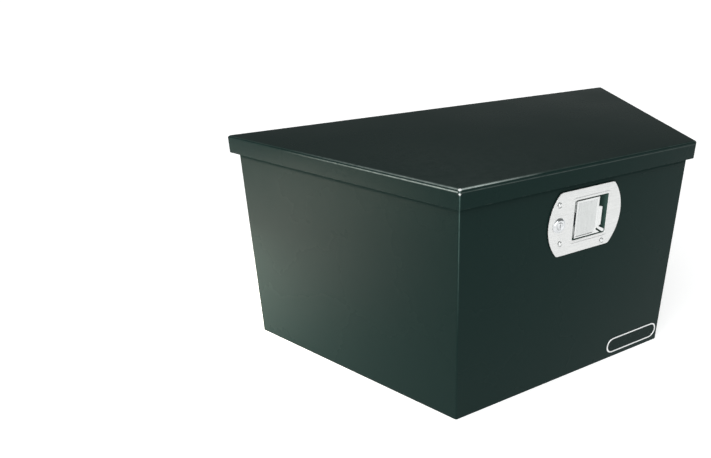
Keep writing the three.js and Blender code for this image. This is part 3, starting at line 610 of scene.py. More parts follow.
# Hinge: two stainless leaves rolled into 27 knuckles round one pin, each held by a row of blind
# rivets, to the back and through the rear lip. Each knuckle is the leaf's own strip, rolled nearly
# all the way round.
PIN_Y = 0.2207
PIN_Z = 0.383
HINGE_END = 0.421
KNUCKLES = 27
KNUCKLE_RADIUS = 0.0034
KNUCKLE_GAP = 0.0006
PIN_RADIUS = 0.0015
ROLLED = math.radians(300)
PLAY = 0.0003
LEAF = 0.0012
LEAF_EASE = 0.0002
LEAF_RIVETS = 12
LEAF_RIVET_PITCH = 0.072
LEAF_RIVET_HEAD = 0.0045
LEAF_RIVET_DOME = 0.0013
LEAF_RIVET_SUNK = 0.0003
HINGE_LINES = (25.0, 900.0, 900.0)
BRUSHED_COLOUR = (0.60, 0.61, 0.605, 1)
BRUSHED_DARK = (0.44, 0.45, 0.45, 1)


def brushed_effect():
    """Fine lines of a belt finish along one direction, given by how much each axis is packed."""
    group, given, result = effect("brushed", {"Lines": HINGE_LINES}, ["Line", "Smudge"])
    packed = {0: object_place(group), 1: given["Lines"]}
    drawn = node(group, "VectorMath", packed, operation="MULTIPLY").outputs[0]
    line = node(group, "TexNoise", {"Vector": drawn, "Scale": 1.0, "Detail": 4.0}).outputs[0]
    group.links.new(line, result["Line"])
    smudge = noise(group, 55.0, 5.0)
    group.links.new(spread(group, smudge, 0.4, 0.75), result["Smudge"])
    return group


brushed = brushed_effect()


def stainless_finish(name, lines, bright, dark, roughness):
    material, tree = blank_finish(name, roughness, 1.0)
    grain = use(tree, brushed, {"Lines": lines})
    tone = spread(tree, grain["Line"], 0.35, 0.7)
    colour = mixed(tree, product(tree, tone, 0.6), bright, dark)
    lined = spread(tree, grain["Line"], 0.3, 0.7, roughness - 0.05, roughness + 0.07)
    gloss = total(tree, lined, product(tree, grain["Smudge"], 0.08))
    return surfaced(material, colour, gloss, grain["Line"], 0.00002, 0.5)


hinge_steel = stainless_finish("hinge_stainless", HINGE_LINES, BRUSHED_COLOUR, BRUSHED_DARK, 0.32)


def turned_on(shape, profile, centre, axis, steps=32):
    """Turns a profile of (radius, along) points about an axis through centre."""
    out = Vector((0, 1, 0) if axis[0] else (1, 0, 0))
    axis = Vector(axis)
    spots = [shape.verts.new(Vector(centre) + out * radius + axis * along) for radius, along in profile]
    lines = [shape.edges.new(pair) for pair in zip(spots, spots[1:])]
    bmesh.ops.spin(shape, geom=spots + lines, cent=centre, axis=axis, angle=2 * math.pi, steps=steps,
                   use_merge=True)
    bmesh.ops.remove_doubles(shape, verts=shape.verts, dist=MERGE)


def domed(radius, height):
    """The profile of a rivet's head, from its crown out to its rim."""
    turns = [math.pi / 2 * step / 7 for step in range(8)]
    return [(radius * math.sin(turn), height * (1 - math.cos(turn))) for turn in turns]


def rolled_knuckle(shape, first, last, up):
    """A knuckle from first to last along X, rolled from a leaf above the pin or one below it."""
    mid = Vector(((first + last) / 2, PIN_Y, PIN_Z))
    inner = KNUCKLE_RADIUS - LEAF
    strip = bmesh.ops.create_grid(shape, x_segments=1, y_segments=1, size=0.5)["verts"]
    way = 1 if up else -1
    stand = Matrix.Translation(mid + Vector((0, way * (inner + LEAF / 2), 0)))
    bmesh.ops.transform(shape, matrix=stand @ Matrix.Diagonal((last - first, LEAF, 1, 1)), verts=strip)
    section = list({face for vert in strip for face in vert.link_faces})
    bmesh.ops.spin(shape, geom=section, cent=mid, axis=(1, 0, 0), angle=-way * ROLLED, steps=14)


def hinge_leaf(name, node_name, body, start, up):
    """A leaf with every second knuckle from start, above the pin or below it."""
    shape = bmesh.new()
    pitch = 2 * HINGE_END / KNUCKLES
    spans = []
    for i in range(start, KNUCKLES, 2):
        first = i * pitch - HINGE_END
        spans.append((first + KNUCKLE_GAP / 2, first + pitch - KNUCKLE_GAP / 2))
    for first, last in spans:
        rolled_knuckle(shape, first, last, up)
    low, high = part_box(node_name)
    near = KNUCKLE_RADIUS + PLAY
    seat = (high.y - LEAF, high.y) if up else (low.y, low.y + LEAF)
    tall = (PIN_Z + near, high.z) if up else (low.z, PIN_Z - near)
    tab = (PIN_Z, PIN_Z + near + LEAF / 2) if up else (PIN_Z - near - LEAF / 2, PIN_Z)
    block(shape, (-HINGE_END, seat[0], tall[0]), (HINGE_END, seat[1], tall[1]))
    for first, last in spans:
        block(shape, (first, seat[0], tab[0]), (last, seat[1], tab[1]))
    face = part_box("lid_lip_back")[1].y if up else seat[1]
    foot = LEAF_RIVET_DOME + LEAF_RIVET_SUNK
    for i in range(LEAF_RIVETS):
        along = (i - (LEAF_RIVETS - 1) / 2) * LEAF_RIVET_PITCH
        crown = Vector((along, face + LEAF_RIVET_DOME, sum(tall) / 2))
        profile = domed(LEAF_RIVET_HEAD, LEAF_RIVET_DOME) + [(LEAF_RIVET_HEAD, foot), (0, foot)]
        turned_on(shape, profile, crown, (0, -1, 0), 20)
    made = fitted(as_object(name, shape), body, hinge_steel)
    eased(made, LEAF_EASE, 50)
    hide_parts(node_name)


hinge_leaf("body_hinge_leaf", "hinge_leaf_body", "box", 0, False)
hinge_leaf("lid_hinge_leaf", "hinge_leaf_lid", "lid", 1, True)
pin = bmesh.new()
bar(pin, stood((0, PIN_Y, PIN_Z), "Y"), PIN_RADIUS, 2 * HINGE_END, 20)
pin = eased(fitted(as_object("hinge_rod", pin), "box", hinge_steel), CUT_EASE)
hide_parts("hinge_pin")


# Bezel and finger pocket: one pressing of 1.2 mm stainless with flat top and bottom, round ends and
# a deep rectangular pocket. It is brushed along its length and riveted to the front; a dark green
# coat is painted inside the pocket as its shade.
BEZEL_REACH = 0.0785
BEZEL_RISE = 0.05625
BEZEL_FLAT = 0.057
BEZEL_CORNER = 0.007
BEZEL_BACK = -0.0016
BEZEL_FACE = -0.0032
END_BULGE = BEZEL_REACH - BEZEL_FLAT
END_RADIUS = (BEZEL_RISE ** 2 + END_BULGE ** 2) / 2 / END_BULGE
END_CENTRE = BEZEL_REACH - END_RADIUS
POCKET_X = (-0.026, 0.047)
POCKET_Z = (-0.033, 0.037)
POCKET_DEPTH = 0.022
SHADE_START = BEZEL_FACE + 0.003
PAN_WALL = 0.0012
TAIL_SLOT_X = (-0.0197, -0.0028)
TAIL_SLOT_Z = (0.022, 0.036)
DIMPLE_STEPS = ((0.0062, 0.0), (0.0057, 0.0001), (0.0048, 0.0005), (0.0043, 0.0006))
POCKET_SHADE_COLOUR = (0.060, 0.115, 0.098, 1)
BEZEL_LINES = (30.0, 700.0, 1100.0)
BEZEL_COLOUR = (0.76, 0.765, 0.76, 1)
BEZEL_DARK = (0.64, 0.65, 0.645, 1)


def faces_of(result, key="geom"):
    return [item for item in result[key] if isinstance(item, bmesh.types.BMFace)]


def flattened(made):
    """Keeps flat faces evenly lit beside small rounded edges."""
    even = made.modifiers.new("even_flats", "WEIGHTED_NORMAL")
    even.keep_sharp = True
    even.weight = 100
    return made


def bezel_ring(shape, inset, y):
    """The bezel's outline, drawn in by an inset: end arcs, round corners and straight runs."""
    corner_z = BEZEL_RISE - BEZEL_CORNER
    turn = math.asin(corner_z / (END_RADIUS - BEZEL_CORNER))
    corner_x = END_CENTRE + (END_RADIUS - BEZEL_CORNER) * math.cos(turn)
    rounding = math.pi / 2 - turn
    before = set(shape.edges)
    ends = []
    for side in (1, -1):
        start = last = shape.verts.new((side * corner_x, y, side * (inset - BEZEL_RISE)))
        for x, z, angle, steps in ((corner_x, -corner_z, rounding, 5), (END_CENTRE, 0, 2 * turn, 24),
                                   (corner_x, corner_z, rounding, 5)):
            swept = bmesh.ops.spin(shape, geom=[last], cent=(side * x, y, side * z), axis=(0, -1, 0),
                                   angle=angle, steps=steps)
            last = verts_of(swept, "geom_last")[0]
        ends.append((start, last))
    shape.edges.new((ends[0][1], ends[1][0]))
    shape.edges.new((ends[1][1], ends[0][0]))
    return [edge for edge in shape.edges if edge not in before]


def rounded_ring(shape, across, tall, radius, y, segments=6):
    """A rectangle with round corners, as a ring of edges."""
    before = set(shape.edges)
    spots = [(across[0], tall[0]), (across[1], tall[0]), (across[1], tall[1]), (across[0], tall[1])]
    corners = [shape.verts.new((x, y, z)) for x, z in spots]
    shape.faces.new(corners)
    rounded(shape, corners, radius, segments, "VERTICES")
    ring = [edge for edge in shape.edges if edge not in before]
    bmesh.ops.delete(shape, geom=ring[0].link_faces[:], context="FACES_ONLY")
    return ring


def joined_rings(shape, rings):
    for first, second in zip(rings, rings[1:]):
        bmesh.ops.bridge_loops(shape, edges=first + second)


def grown(span, grow):
    return (span[0] - grow, span[1] + grow)


bezel_steel = stainless_finish("bezel_stainless", BEZEL_LINES, BEZEL_COLOUR, BEZEL_DARK, 0.30)
dish = bmesh.new()
rim_steps = [(0.0, BEZEL_BACK), (0.0, BEZEL_FACE + 0.0006), (0.0002, BEZEL_FACE + 0.00022),
             (0.0007, BEZEL_FACE)]
lip_steps = [(0.0054, 0.0060, BEZEL_FACE), (0.0049, 0.0056, BEZEL_FACE + 0.00025),
             (0.0044, 0.0053, BEZEL_FACE), (0.0011, 0.0034, BEZEL_FACE),
             (0.0004, 0.0029, BEZEL_FACE + 0.0002), (0.0, 0.0025, BEZEL_FACE + 0.0009),
             (0.0, 0.0025, POCKET_DEPTH - 0.002), (-0.0006, 0.0020, POCKET_DEPTH - 0.0005),
             (-0.002, 0.0015, POCKET_DEPTH)]
rim_rings = [bezel_ring(dish, inset, y) for inset, y in rim_steps]
lip_rings = [rounded_ring(dish, grown(POCKET_X, grow), grown(POCKET_Z, grow), radius, y)
             for grow, radius, y in lip_steps]
joined_rings(dish, rim_rings)
joined_rings(dish, lip_rings)
bmesh.ops.contextual_create(dish, geom=lip_rings[-1])
face_edges = rim_rings[-1] + lip_rings[0]
for x, z in RIVET_PLACES:
    rings = []
    for radius, sink in DIMPLE_STEPS:
        before = set(dish.edges)
        stand = stood((x, BEZEL_FACE + sink, z), "X")
        bmesh.ops.create_circle(dish, segments=28, radius=radius, matrix=stand)
        rings.append([edge for edge in dish.edges if edge not in before])
    joined_rings(dish, rings)
    bmesh.ops.contextual_create(dish, geom=rings[-1])
    face_edges += rings[0]
bmesh.ops.triangle_fill(dish, use_beauty=True, edges=face_edges, normal=(0, -1, 0))
for plane_normal, cuts in ((Vector((1, 0, 0)), TAIL_SLOT_X), (Vector((0, 0, 1)), TAIL_SLOT_Z)):
    for cut_at in cuts:
        floor_faces = [face for face in dish.faces
                       if all(abs(vert.co.y - POCKET_DEPTH) < MERGE for vert in face.verts)]
        bmesh.ops.bisect_plane(dish, geom=touching(floor_faces), plane_co=plane_normal * cut_at,
                               plane_no=plane_normal)
slot_faces = []
# Faces deep in the pocket take the second slot, the painted shade.
for face in dish.faces:
    middle = face.calc_center_median()
    face.material_index = int(middle.y > SHADE_START)
    level = abs(middle.y - POCKET_DEPTH) < MERGE
    in_slot = TAIL_SLOT_X[0] < middle.x < TAIL_SLOT_X[1] and TAIL_SLOT_Z[0] < middle.z < TAIL_SLOT_Z[1]
    if level and in_slot:
        slot_faces.append(face)
bmesh.ops.delete(dish, geom=slot_faces, context="FACES")
bmesh.ops.translate(dish, vec=LATCH, verts=dish.verts)
dish = as_object("bezel_and_pocket", dish, (0, -1, 0))
thickened(dish, PAN_WALL)
fitted(dish, "box", bezel_steel, 25)
flattened(dish)
# Painted shade: a dark green coat inside the pocket stands in for the shade in the recess.
dish.data.materials.append(powder_coat("pocket_painted_shade", 0.0, 0.0, POCKET_SHADE_COLOUR))
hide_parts("latch_dish")


# Gasket: a sheet of black rubber under the bezel that keeps water out of the window. Only a dark
# line of it shows round the bezel.
GASKET_INSET = 0.0004
GASKET_HOLE = 0.0022
GASKET_CORNER = 0.0034
GASKET_BACK = -0.0002
GASKET_FACE = -0.0014
gasket = bmesh.new()
gasket_outer = [bezel_ring(gasket, GASKET_INSET, y) for y in (GASKET_BACK, GASKET_FACE)]
gasket_hole = [rounded_ring(gasket, grown(POCKET_X, GASKET_HOLE), grown(POCKET_Z, GASKET_HOLE),
                            GASKET_CORNER, y) for y in (GASKET_FACE, GASKET_BACK)]
joined_rings(gasket, gasket_outer)
joined_rings(gasket, gasket_hole)
for rims_of_face, way in ((gasket_outer[0] + gasket_hole[1], 1), (gasket_outer[1] + gasket_hole[0], -1)):
    bmesh.ops.triangle_fill(gasket, use_beauty=True, edges=rims_of_face, normal=(0, way, 0))
bmesh.ops.translate(gasket, vec=LATCH, verts=gasket.verts)
gasket = fitted(as_object("bezel_gasket", gasket), "box", rubber)
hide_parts("latch_gasket")


# Paddle: a stainless plate with a pressed, finer brushed panel, a stepped free edge for the fingers
# and a slanting slot that leaves a lug. It turns on a pin at its left edge, where a coil spring holds
# it shut, and its tail draws the bolt.
PADDLE_FOOT = -0.031
PADDLE_HEAD = 0.035
PADDLE_EDGE = ((-0.0212, -0.031), (0.036, -0.031), (0.0253, -0.0237), (0.02677, -0.0215), (0.0404, -0.031),
               (0.045, -0.031), (0.045, -0.027), (0.0316, -0.0193), (0.036, -0.0171), (0.036, 0.0155),
               (0.0278, 0.0179), (0.0278, 0.035), (-0.0212, 0.035))
PADDLE_FACE = -0.0026
PADDLE_THICK = 0.002
PADDLE_EASE = 0.0006
PIVOT_X = -0.0172
PIVOT_Y = 0.0042
PIVOT_RADIUS = 0.002
ROD_EASE = 0.0004
BARREL_RADIUS = 0.004
BARREL_GAP = (-0.010, 0.014)
TAIL_Z = (0.023, 0.035)
TAIL_TIP = 0.0312
TAIL_THICK = 0.0025
TAIL_ROOT = 0.0006
WEB_PLAY = 0.0004
PANEL_EDGE = ((-0.0190, -0.0288), (0.0185, -0.0288), (0.0252, -0.0200), (0.0252, 0.0328),
              (-0.0190, 0.0328))
PANEL_SLOPE = 0.0014
PANEL_DEPTH = 0.0006
PADDLE_LINES = (700.0, 700.0, 28.0)
PANEL_LINES = (900.0, 900.0, 24.0)
PADDLE_COLOUR = (0.82, 0.83, 0.825, 1)
PADDLE_DARK = (0.72, 0.73, 0.73, 1)
PANEL_COLOUR = (0.70, 0.715, 0.71, 1)
PANEL_DARK = (0.59, 0.605, 0.60, 1)

paddle_steel = stainless_finish("paddle_stainless", PADDLE_LINES, PADDLE_COLOUR, PADDLE_DARK, 0.30)
panel_steel = stainless_finish("panel_stainless", PANEL_LINES, PANEL_COLOUR, PANEL_DARK, 0.36)
paddle = bmesh.new()
plate = paddle.faces.new([paddle.verts.new((x, PADDLE_FACE + PADDLE_THICK, z)) for x, z in PADDLE_EDGE])
grown_plate = bmesh.ops.extrude_face_region(paddle, geom=[plate])
bmesh.ops.translate(paddle, vec=(0, -PADDLE_THICK, 0), verts=verts_of(grown_plate))
front_face = faces_of(grown_plate)
front_edges = list({edge for face in front_face for edge in face.edges})
rounded(paddle, front_edges, PADDLE_EASE, 3)
foremost = [face for face in paddle.faces if face.calc_center_median().y < PADDLE_FACE + 100 * MERGE]
flat_face = max(foremost, key=lambda face: face.calc_area())
flat_rim = list(flat_face.edges)
bmesh.ops.delete(paddle, geom=[flat_face], context="FACES_ONLY")
panel = paddle.faces.new([paddle.verts.new((x, PADDLE_FACE, z)) for x, z in PANEL_EDGE])
bmesh.ops.triangle_fill(paddle, use_beauty=True, edges=flat_rim + list(panel.edges), normal=(0, -1, 0))
bmesh.ops.inset_region(paddle, faces=[panel], thickness=PANEL_SLOPE, depth=0.0, use_even_offset=True)
bmesh.ops.translate(paddle, vec=(0, PANEL_DEPTH, 0), verts=panel.verts)
panel.material_index = 1
for low_end, high_end in ((PADDLE_FOOT, BARREL_GAP[0]), (BARREL_GAP[1], PADDLE_HEAD)):
    centre = Vector((PIVOT_X, PIVOT_Y, (low_end + high_end) / 2))
    spots = ((PIVOT_RADIUS + PLAY, low_end), (BARREL_RADIUS, low_end), (BARREL_RADIUS, high_end),
             (PIVOT_RADIUS + PLAY, high_end))
    section = [paddle.verts.new((PIVOT_X + radius, PIVOT_Y, z)) for radius, z in spots]
    ring = [paddle.edges.new((section[i], section[(i + 1) % 4])) for i in range(4)]
    bmesh.ops.spin(paddle, geom=section + ring, cent=centre, axis=(0, 0, 1), angle=2 * math.pi, steps=24,
                   use_merge=True)
    web_front = PADDLE_FACE + PADDLE_THICK / 2
    web_back = PIVOT_Y - PIVOT_RADIUS - WEB_PLAY
    block(paddle, (PIVOT_X - TAIL_THICK, web_front, low_end), (PIVOT_X + TAIL_THICK, web_back, high_end))
tail_start = PIVOT_Y + BARREL_RADIUS - TAIL_ROOT
block(paddle, (PIVOT_X - TAIL_THICK / 2, tail_start, TAIL_Z[0]),
      (PIVOT_X + TAIL_THICK / 2, TAIL_TIP, TAIL_Z[1]))
tip_at = Matrix.Translation((PIVOT_X, TAIL_TIP, sum(TAIL_Z) / 2))
bar(paddle, tip_at, TAIL_THICK, TAIL_Z[1] - TAIL_Z[0], 20)
bmesh.ops.translate(paddle, vec=LATCH, verts=paddle.verts)
paddle = flattened(fitted(as_object("paddle_plate", paddle), "paddle", paddle_steel, 20))
paddle.data.materials.append(panel_steel)
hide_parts("paddle")

paddle_pin = bmesh.new()
low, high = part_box("paddle_pin")
pin_at = Matrix.Translation((LATCH.x + PIVOT_X, LATCH.y + PIVOT_Y, (low.z + high.z) / 2))
bar(paddle_pin, pin_at, PIVOT_RADIUS, high.z - low.z, 24)
paddle_pin = fitted(as_object("paddle_hinge_pin", paddle_pin), "box", hinge_steel)
eased(paddle_pin, ROD_EASE)
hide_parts("paddle_pin")


# Springs: wound from hard steel wire. One wraps the paddle's pin; the other pushes the bolt shut and
# shortens as the bolt draws back.
PADDLE_WIRE = 0.0005
PADDLE_COIL = 0.0036
PADDLE_TURNS = 14
BOLT_WIRE = 0.0007
BOLT_COIL = 0.005
BOLT_TURNS = 9
SPRING_COLOUR = (0.085, 0.087, 0.09, 1)
SPRING_BLUE = (0.05, 0.06, 0.085, 1)


def spring_finish():
    material, tree = blank_finish("spring_steel", 0.34, 0.9)
    temper = noise(tree, 180.0, 3.0)
    drawn = noise(tree, 1500.0, 1.0)
    colour = mixed(tree, spread(tree, temper, 0.4, 0.65), SPRING_COLOUR, SPRING_BLUE)
    return surfaced(material, colour, spread(tree, drawn, 0.3, 0.7, 0.26, 0.42), drawn, 0.00001, 0.5)


def coil(shape, wire_radius, radius, length, turns):
    """A helix of round wire along +Z, from 0 to its length."""
    steps = int(turns * 20)
    ring = bmesh.ops.create_circle(shape, cap_ends=True, segments=8, radius=wire_radius)["verts"]
    stand = stood((radius - wire_radius, 0, wire_radius), "X")
    bmesh.ops.transform(shape, matrix=stand, verts=ring)
    section = list({face for vert in ring for face in vert.link_faces})
    climb = (length - 2 * wire_radius) / steps
    bmesh.ops.spin(shape, geom=section, cent=(0, 0, 0), axis=(0, 0, 1), dvec=(0, 0, climb),
                   angle=2 * math.pi * turns, steps=steps)


spring_steel = spring_finish()
paddle_spring = bmesh.new()
low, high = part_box("paddle_spring")
coil(paddle_spring, PADDLE_WIRE, PADDLE_COIL, high.z - low.z, PADDLE_TURNS)
middle = (low + high) / 2
bmesh.ops.translate(paddle_spring, vec=(middle.x, middle.y, low.z), verts=paddle_spring.verts)
paddle_spring = fitted(as_object("paddle_return_spring", paddle_spring), "box", spring_steel)
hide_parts("paddle_spring")

bolt_spring = bmesh.new()
low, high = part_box("bolt_spring")
coil(bolt_spring, BOLT_WIRE, BOLT_COIL, high.x - low.x, BOLT_TURNS)
middle = (low + high) / 2
lie = stood((low.x, middle.y, middle.z), "Y")
bmesh.ops.transform(bolt_spring, matrix=lie, verts=bolt_spring.verts)
bolt_spring = fitted(as_object("bolt_return_spring", bolt_spring), "box", spring_steel)
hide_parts("bolt_spring")
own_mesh(bolt_spring)


# Bolt and housing: a sloped bar that slides in a folded channel behind the pocket, both zinc plated,
# with the nuts and the cam of the lock.
dressed(["latch_bolt", "latch_housing", "lock_nut", "lock_cam", "cam_nut"], zinc, CUT_EASE)


# Rivets: stainless blind rivets with domed heads, three through the bezel and two through the
# housing's foot.
RIVET_SHANK = 0.0019
RIVET_HEAD = 0.0036
RIVET_EASE = 0.0004
DOME = 0.0016


def rivet(name):
    """A blind rivet: its dome, its shank and the flattened tail behind the sheet."""
    low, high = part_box(name)
    middle = (low + high) / 2
    centre = Vector((middle.x, low.y, middle.z))
    tail = high.y - low.y
    profile = domed(RIVET_HEAD, DOME)
    profile += [(RIVET_SHANK, DOME), (RIVET_SHANK, tail - DOME / 2), (RIVET_HEAD, tail - DOME / 2),
                (RIVET_HEAD - RIVET_EASE, tail), (0, tail)]
    shape = bmesh.new()
    turned_on(shape, profile, centre, (0, 1, 0), 28)
    made = fitted(as_object(f"{name}_head", shape), "box", paddle_steel)
    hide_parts(name)


for name in ("bezel_rivet_1", "bezel_rivet_2", "bezel_rivet_3", "housing_rivet_1", "housing_rivet_2"):
    rivet(name)


# Key lock: a chromed die-cast barrel with a stepped rose on the bezel, and a turning plug with the
# keyway in a sunken face.
LOCK = LATCH + Vector((LOCK_PLACE[0], 0, LOCK_PLACE[1]))
ROSE_FACE = -0.0059
ROSE_BACK = -0.0034
ROSE_RADIUS = 0.013
BARREL = 0.0095
BARREL_END = 0.026
PLUG_RADIUS = 0.006
PLUG_FACE = -0.0064
PLUG_END = 0.027
PLUG_TAIL = 0.0034
KEYWAY_DEPTH = 0.009
KEYWAY_LEAD = 0.002
KEYWAY_CUTS = ((0.0009, 0.0066, 0, 0), (0.0008, 0.0012, 0.0006, 0.0012))
CHROME_COLOUR = (0.72, 0.735, 0.75, 1)
CHROME_DULL = (0.55, 0.565, 0.575, 1)


def chrome_finish():
    material, tree = blank_finish("lock_chrome", 0.14, 1.0)
    rub = noise(tree, 260.0, 6.0)
    scratch = use(tree, brushed, {"Lines": (60.0, 60.0, 1800.0)})["Line"]
    colour = mixed(tree, spread(tree, rub, 0.45, 0.75), CHROME_COLOUR, CHROME_DULL)
    return surfaced(material, colour, spread(tree, rub, 0.3, 0.75, 0.1, 0.26), scratch, 0.000006, 0.4)


chrome = chrome_finish()
barrel = bmesh.new()
bore = PLUG_RADIUS + PLAY
barrel_profile = [
    (bore, ROSE_FACE + 0.0003), (bore + 0.0003, ROSE_FACE), (0.0092, ROSE_FACE), (0.0098, ROSE_FACE + 0.0001),
    (0.0104, ROSE_FACE + 0.0005), (0.0109, ROSE_FACE + 0.0012), (0.0118, ROSE_FACE + 0.0017),
    (ROSE_RADIUS, ROSE_FACE + 0.0021), (ROSE_RADIUS, ROSE_BACK), (BARREL, ROSE_BACK), (BARREL, BARREL_END),
    (bore, BARREL_END), (bore, ROSE_FACE + 0.0003),
]
turned_on(barrel, barrel_profile, LOCK, (0, 1, 0), 48)
barrel = fitted(as_object("lock_body", barrel), "box", chrome, 28)
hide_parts("lock_barrel")

plug = bmesh.new()
tail_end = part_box("lock_plug")[1].y - LOCK.y
plug_profile = [
    (0, PLUG_FACE + 0.0002), (0.0046, PLUG_FACE + 0.0002), (0.0049, PLUG_FACE), (0.0056, PLUG_FACE),
    (PLUG_RADIUS, PLUG_FACE + 0.0004), (PLUG_RADIUS, PLUG_END), (PLUG_TAIL, PLUG_END),
    (PLUG_TAIL, tail_end), (0, tail_end),
]
turned_on(plug, plug_profile, LOCK, (0, 1, 0), 48)
plug = as_object("lock_plug_face", plug)
for across, tall, off_x, off_z in KEYWAY_CUTS:
    slot_tool = bmesh.new()
    mouth = LOCK + Vector((off_x, PLUG_FACE, off_z))
    block(slot_tool, mouth - Vector((across / 2, KEYWAY_LEAD, tall / 2)),
          mouth + Vector((across / 2, KEYWAY_DEPTH, tall / 2)))
    plug = carved(plug, slot_tool)
fitted(plug, "lock", chrome, 28)
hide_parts("lock_plug")


# Striker: a loop of 6 mm stainless rod, bent square and welded to a plate under the lid, that the
# bolt passes through.
STRIKER_ROD = 0.003
STRIKER_BEND = 0.005
STRIKER_PLATE = 0.002
LOOP_HALF = 0.009


def drawn_on(shape, faces, run):
    """Draws a rod's end face on, straight, and keeps the cap where the rod starts."""
    rod_start = all(len(edge.link_faces) == 1 for edge in faces[0].edges)
    moved = bmesh.ops.extrude_face_region(shape, geom=faces)
    bmesh.ops.translate(shape, vec=run, verts=verts_of(moved))
    if not rod_start:
        bmesh.ops.delete(shape, geom=faces, context="FACES_ONLY")
    return faces_of(moved)


def bent_on(shape, faces, centre):
    """Draws a rod's end face on round a square bend about X."""
    swept = bmesh.ops.spin(shape, geom=faces, cent=centre, axis=(1, 0, 0), angle=math.pi / 2, steps=8)
    bmesh.ops.delete(shape, geom=faces, context="FACES_ONLY")
    return faces_of(swept, "geom_last")


striker = bmesh.new()
low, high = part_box("lid_striker")
block(striker, (low.x, low.y, high.z - STRIKER_PLATE), high)
middle = (low + high) / 2
leg_top = high.z - STRIKER_PLATE / 2
bend_z = low.z + STRIKER_ROD + STRIKER_BEND
run_half = LOOP_HALF - STRIKER_BEND
ring = bmesh.ops.create_circle(striker, cap_ends=True, segments=20, radius=STRIKER_ROD)["verts"]
bmesh.ops.translate(striker, vec=(middle.x, middle.y - LOOP_HALF, leg_top), verts=ring)
end_face = list({face for vert in ring for face in vert.link_faces})
end_face = drawn_on(striker, end_face, (0, 0, bend_z - leg_top))
end_face = bent_on(striker, end_face, (middle.x, middle.y - run_half, bend_z))
end_face = drawn_on(striker, end_face, (0, 2 * run_half, 0))
end_face = bent_on(striker, end_face, (middle.x, middle.y + run_half, bend_z))
drawn_on(striker, end_face, (0, 0, leg_top - bend_z))
striker = eased(fitted(as_object("striker_loop", striker), "lid", hinge_steel), ROD_EASE)
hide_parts("lid_striker")


# Gas stays: a black-painted pressure tube pinned to the back and a chromed rod pinned to the lid,
# one on each side. The tube's end is rolled in round the rod's guide.
STAY_X = 0.261957
STAY_FOOT = Vector((0, 0.1887, 0.353))
STAY_HEAD = Vector((0, -0.0243, 0.395))
TUBE_RADIUS = 0.0075
TUBE_LENGTH = 0.130
ROD_RADIUS = 0.004
ROD_START = 0.032
ROD_NECK = 0.0062
GUIDE_RADIUS = 0.0045
TUBE_BOTTOM = 0.030
EYE_RADIUS = 0.007
EYE_HALF = 0.004
TUBE_EYE_HALF = 0.0039
STUD_RADIUS = 0.003
STUD_LENGTH = 0.005
EYE_CHAMFER = 0.0008
TUBE_PAINT = (0.012, 0.0125, 0.013, 1)
TUBE_SCUFF = (0.06, 0.062, 0.063, 1)


def tube_finish():
    material, tree = blank_finish("stay_tube_paint", 0.3)
    rubbed = use(tree, edge_wear, {"Amount": 0.6, "Radius": 0.0008, "Break Up": 240.0})["Wear"]
    peel = use(tree, orange_peel, {"Grain": 900.0})["Height"]
    scuff = noise(tree, 90.0, 8.0)
    worn = total(tree, spread(tree, scuff, 0.58, 0.72), rubbed, clamp=True)
    gloss = spread(tree, scuff, 0.3, 0.7, 0.24, 0.42)
    return surfaced(material, mixed(tree, worn, TUBE_PAINT, TUBE_SCUFF), gloss, peel, 0.00002, 0.4)


def eye_rim(half):
    """The outside of a stay's eye, with chamfered rims."""
    rim = EYE_RADIUS - EYE_CHAMFER
    return [(rim, -half), (EYE_RADIUS, EYE_CHAMFER - half), (EYE_RADIUS, half - EYE_CHAMFER), (rim, half)]


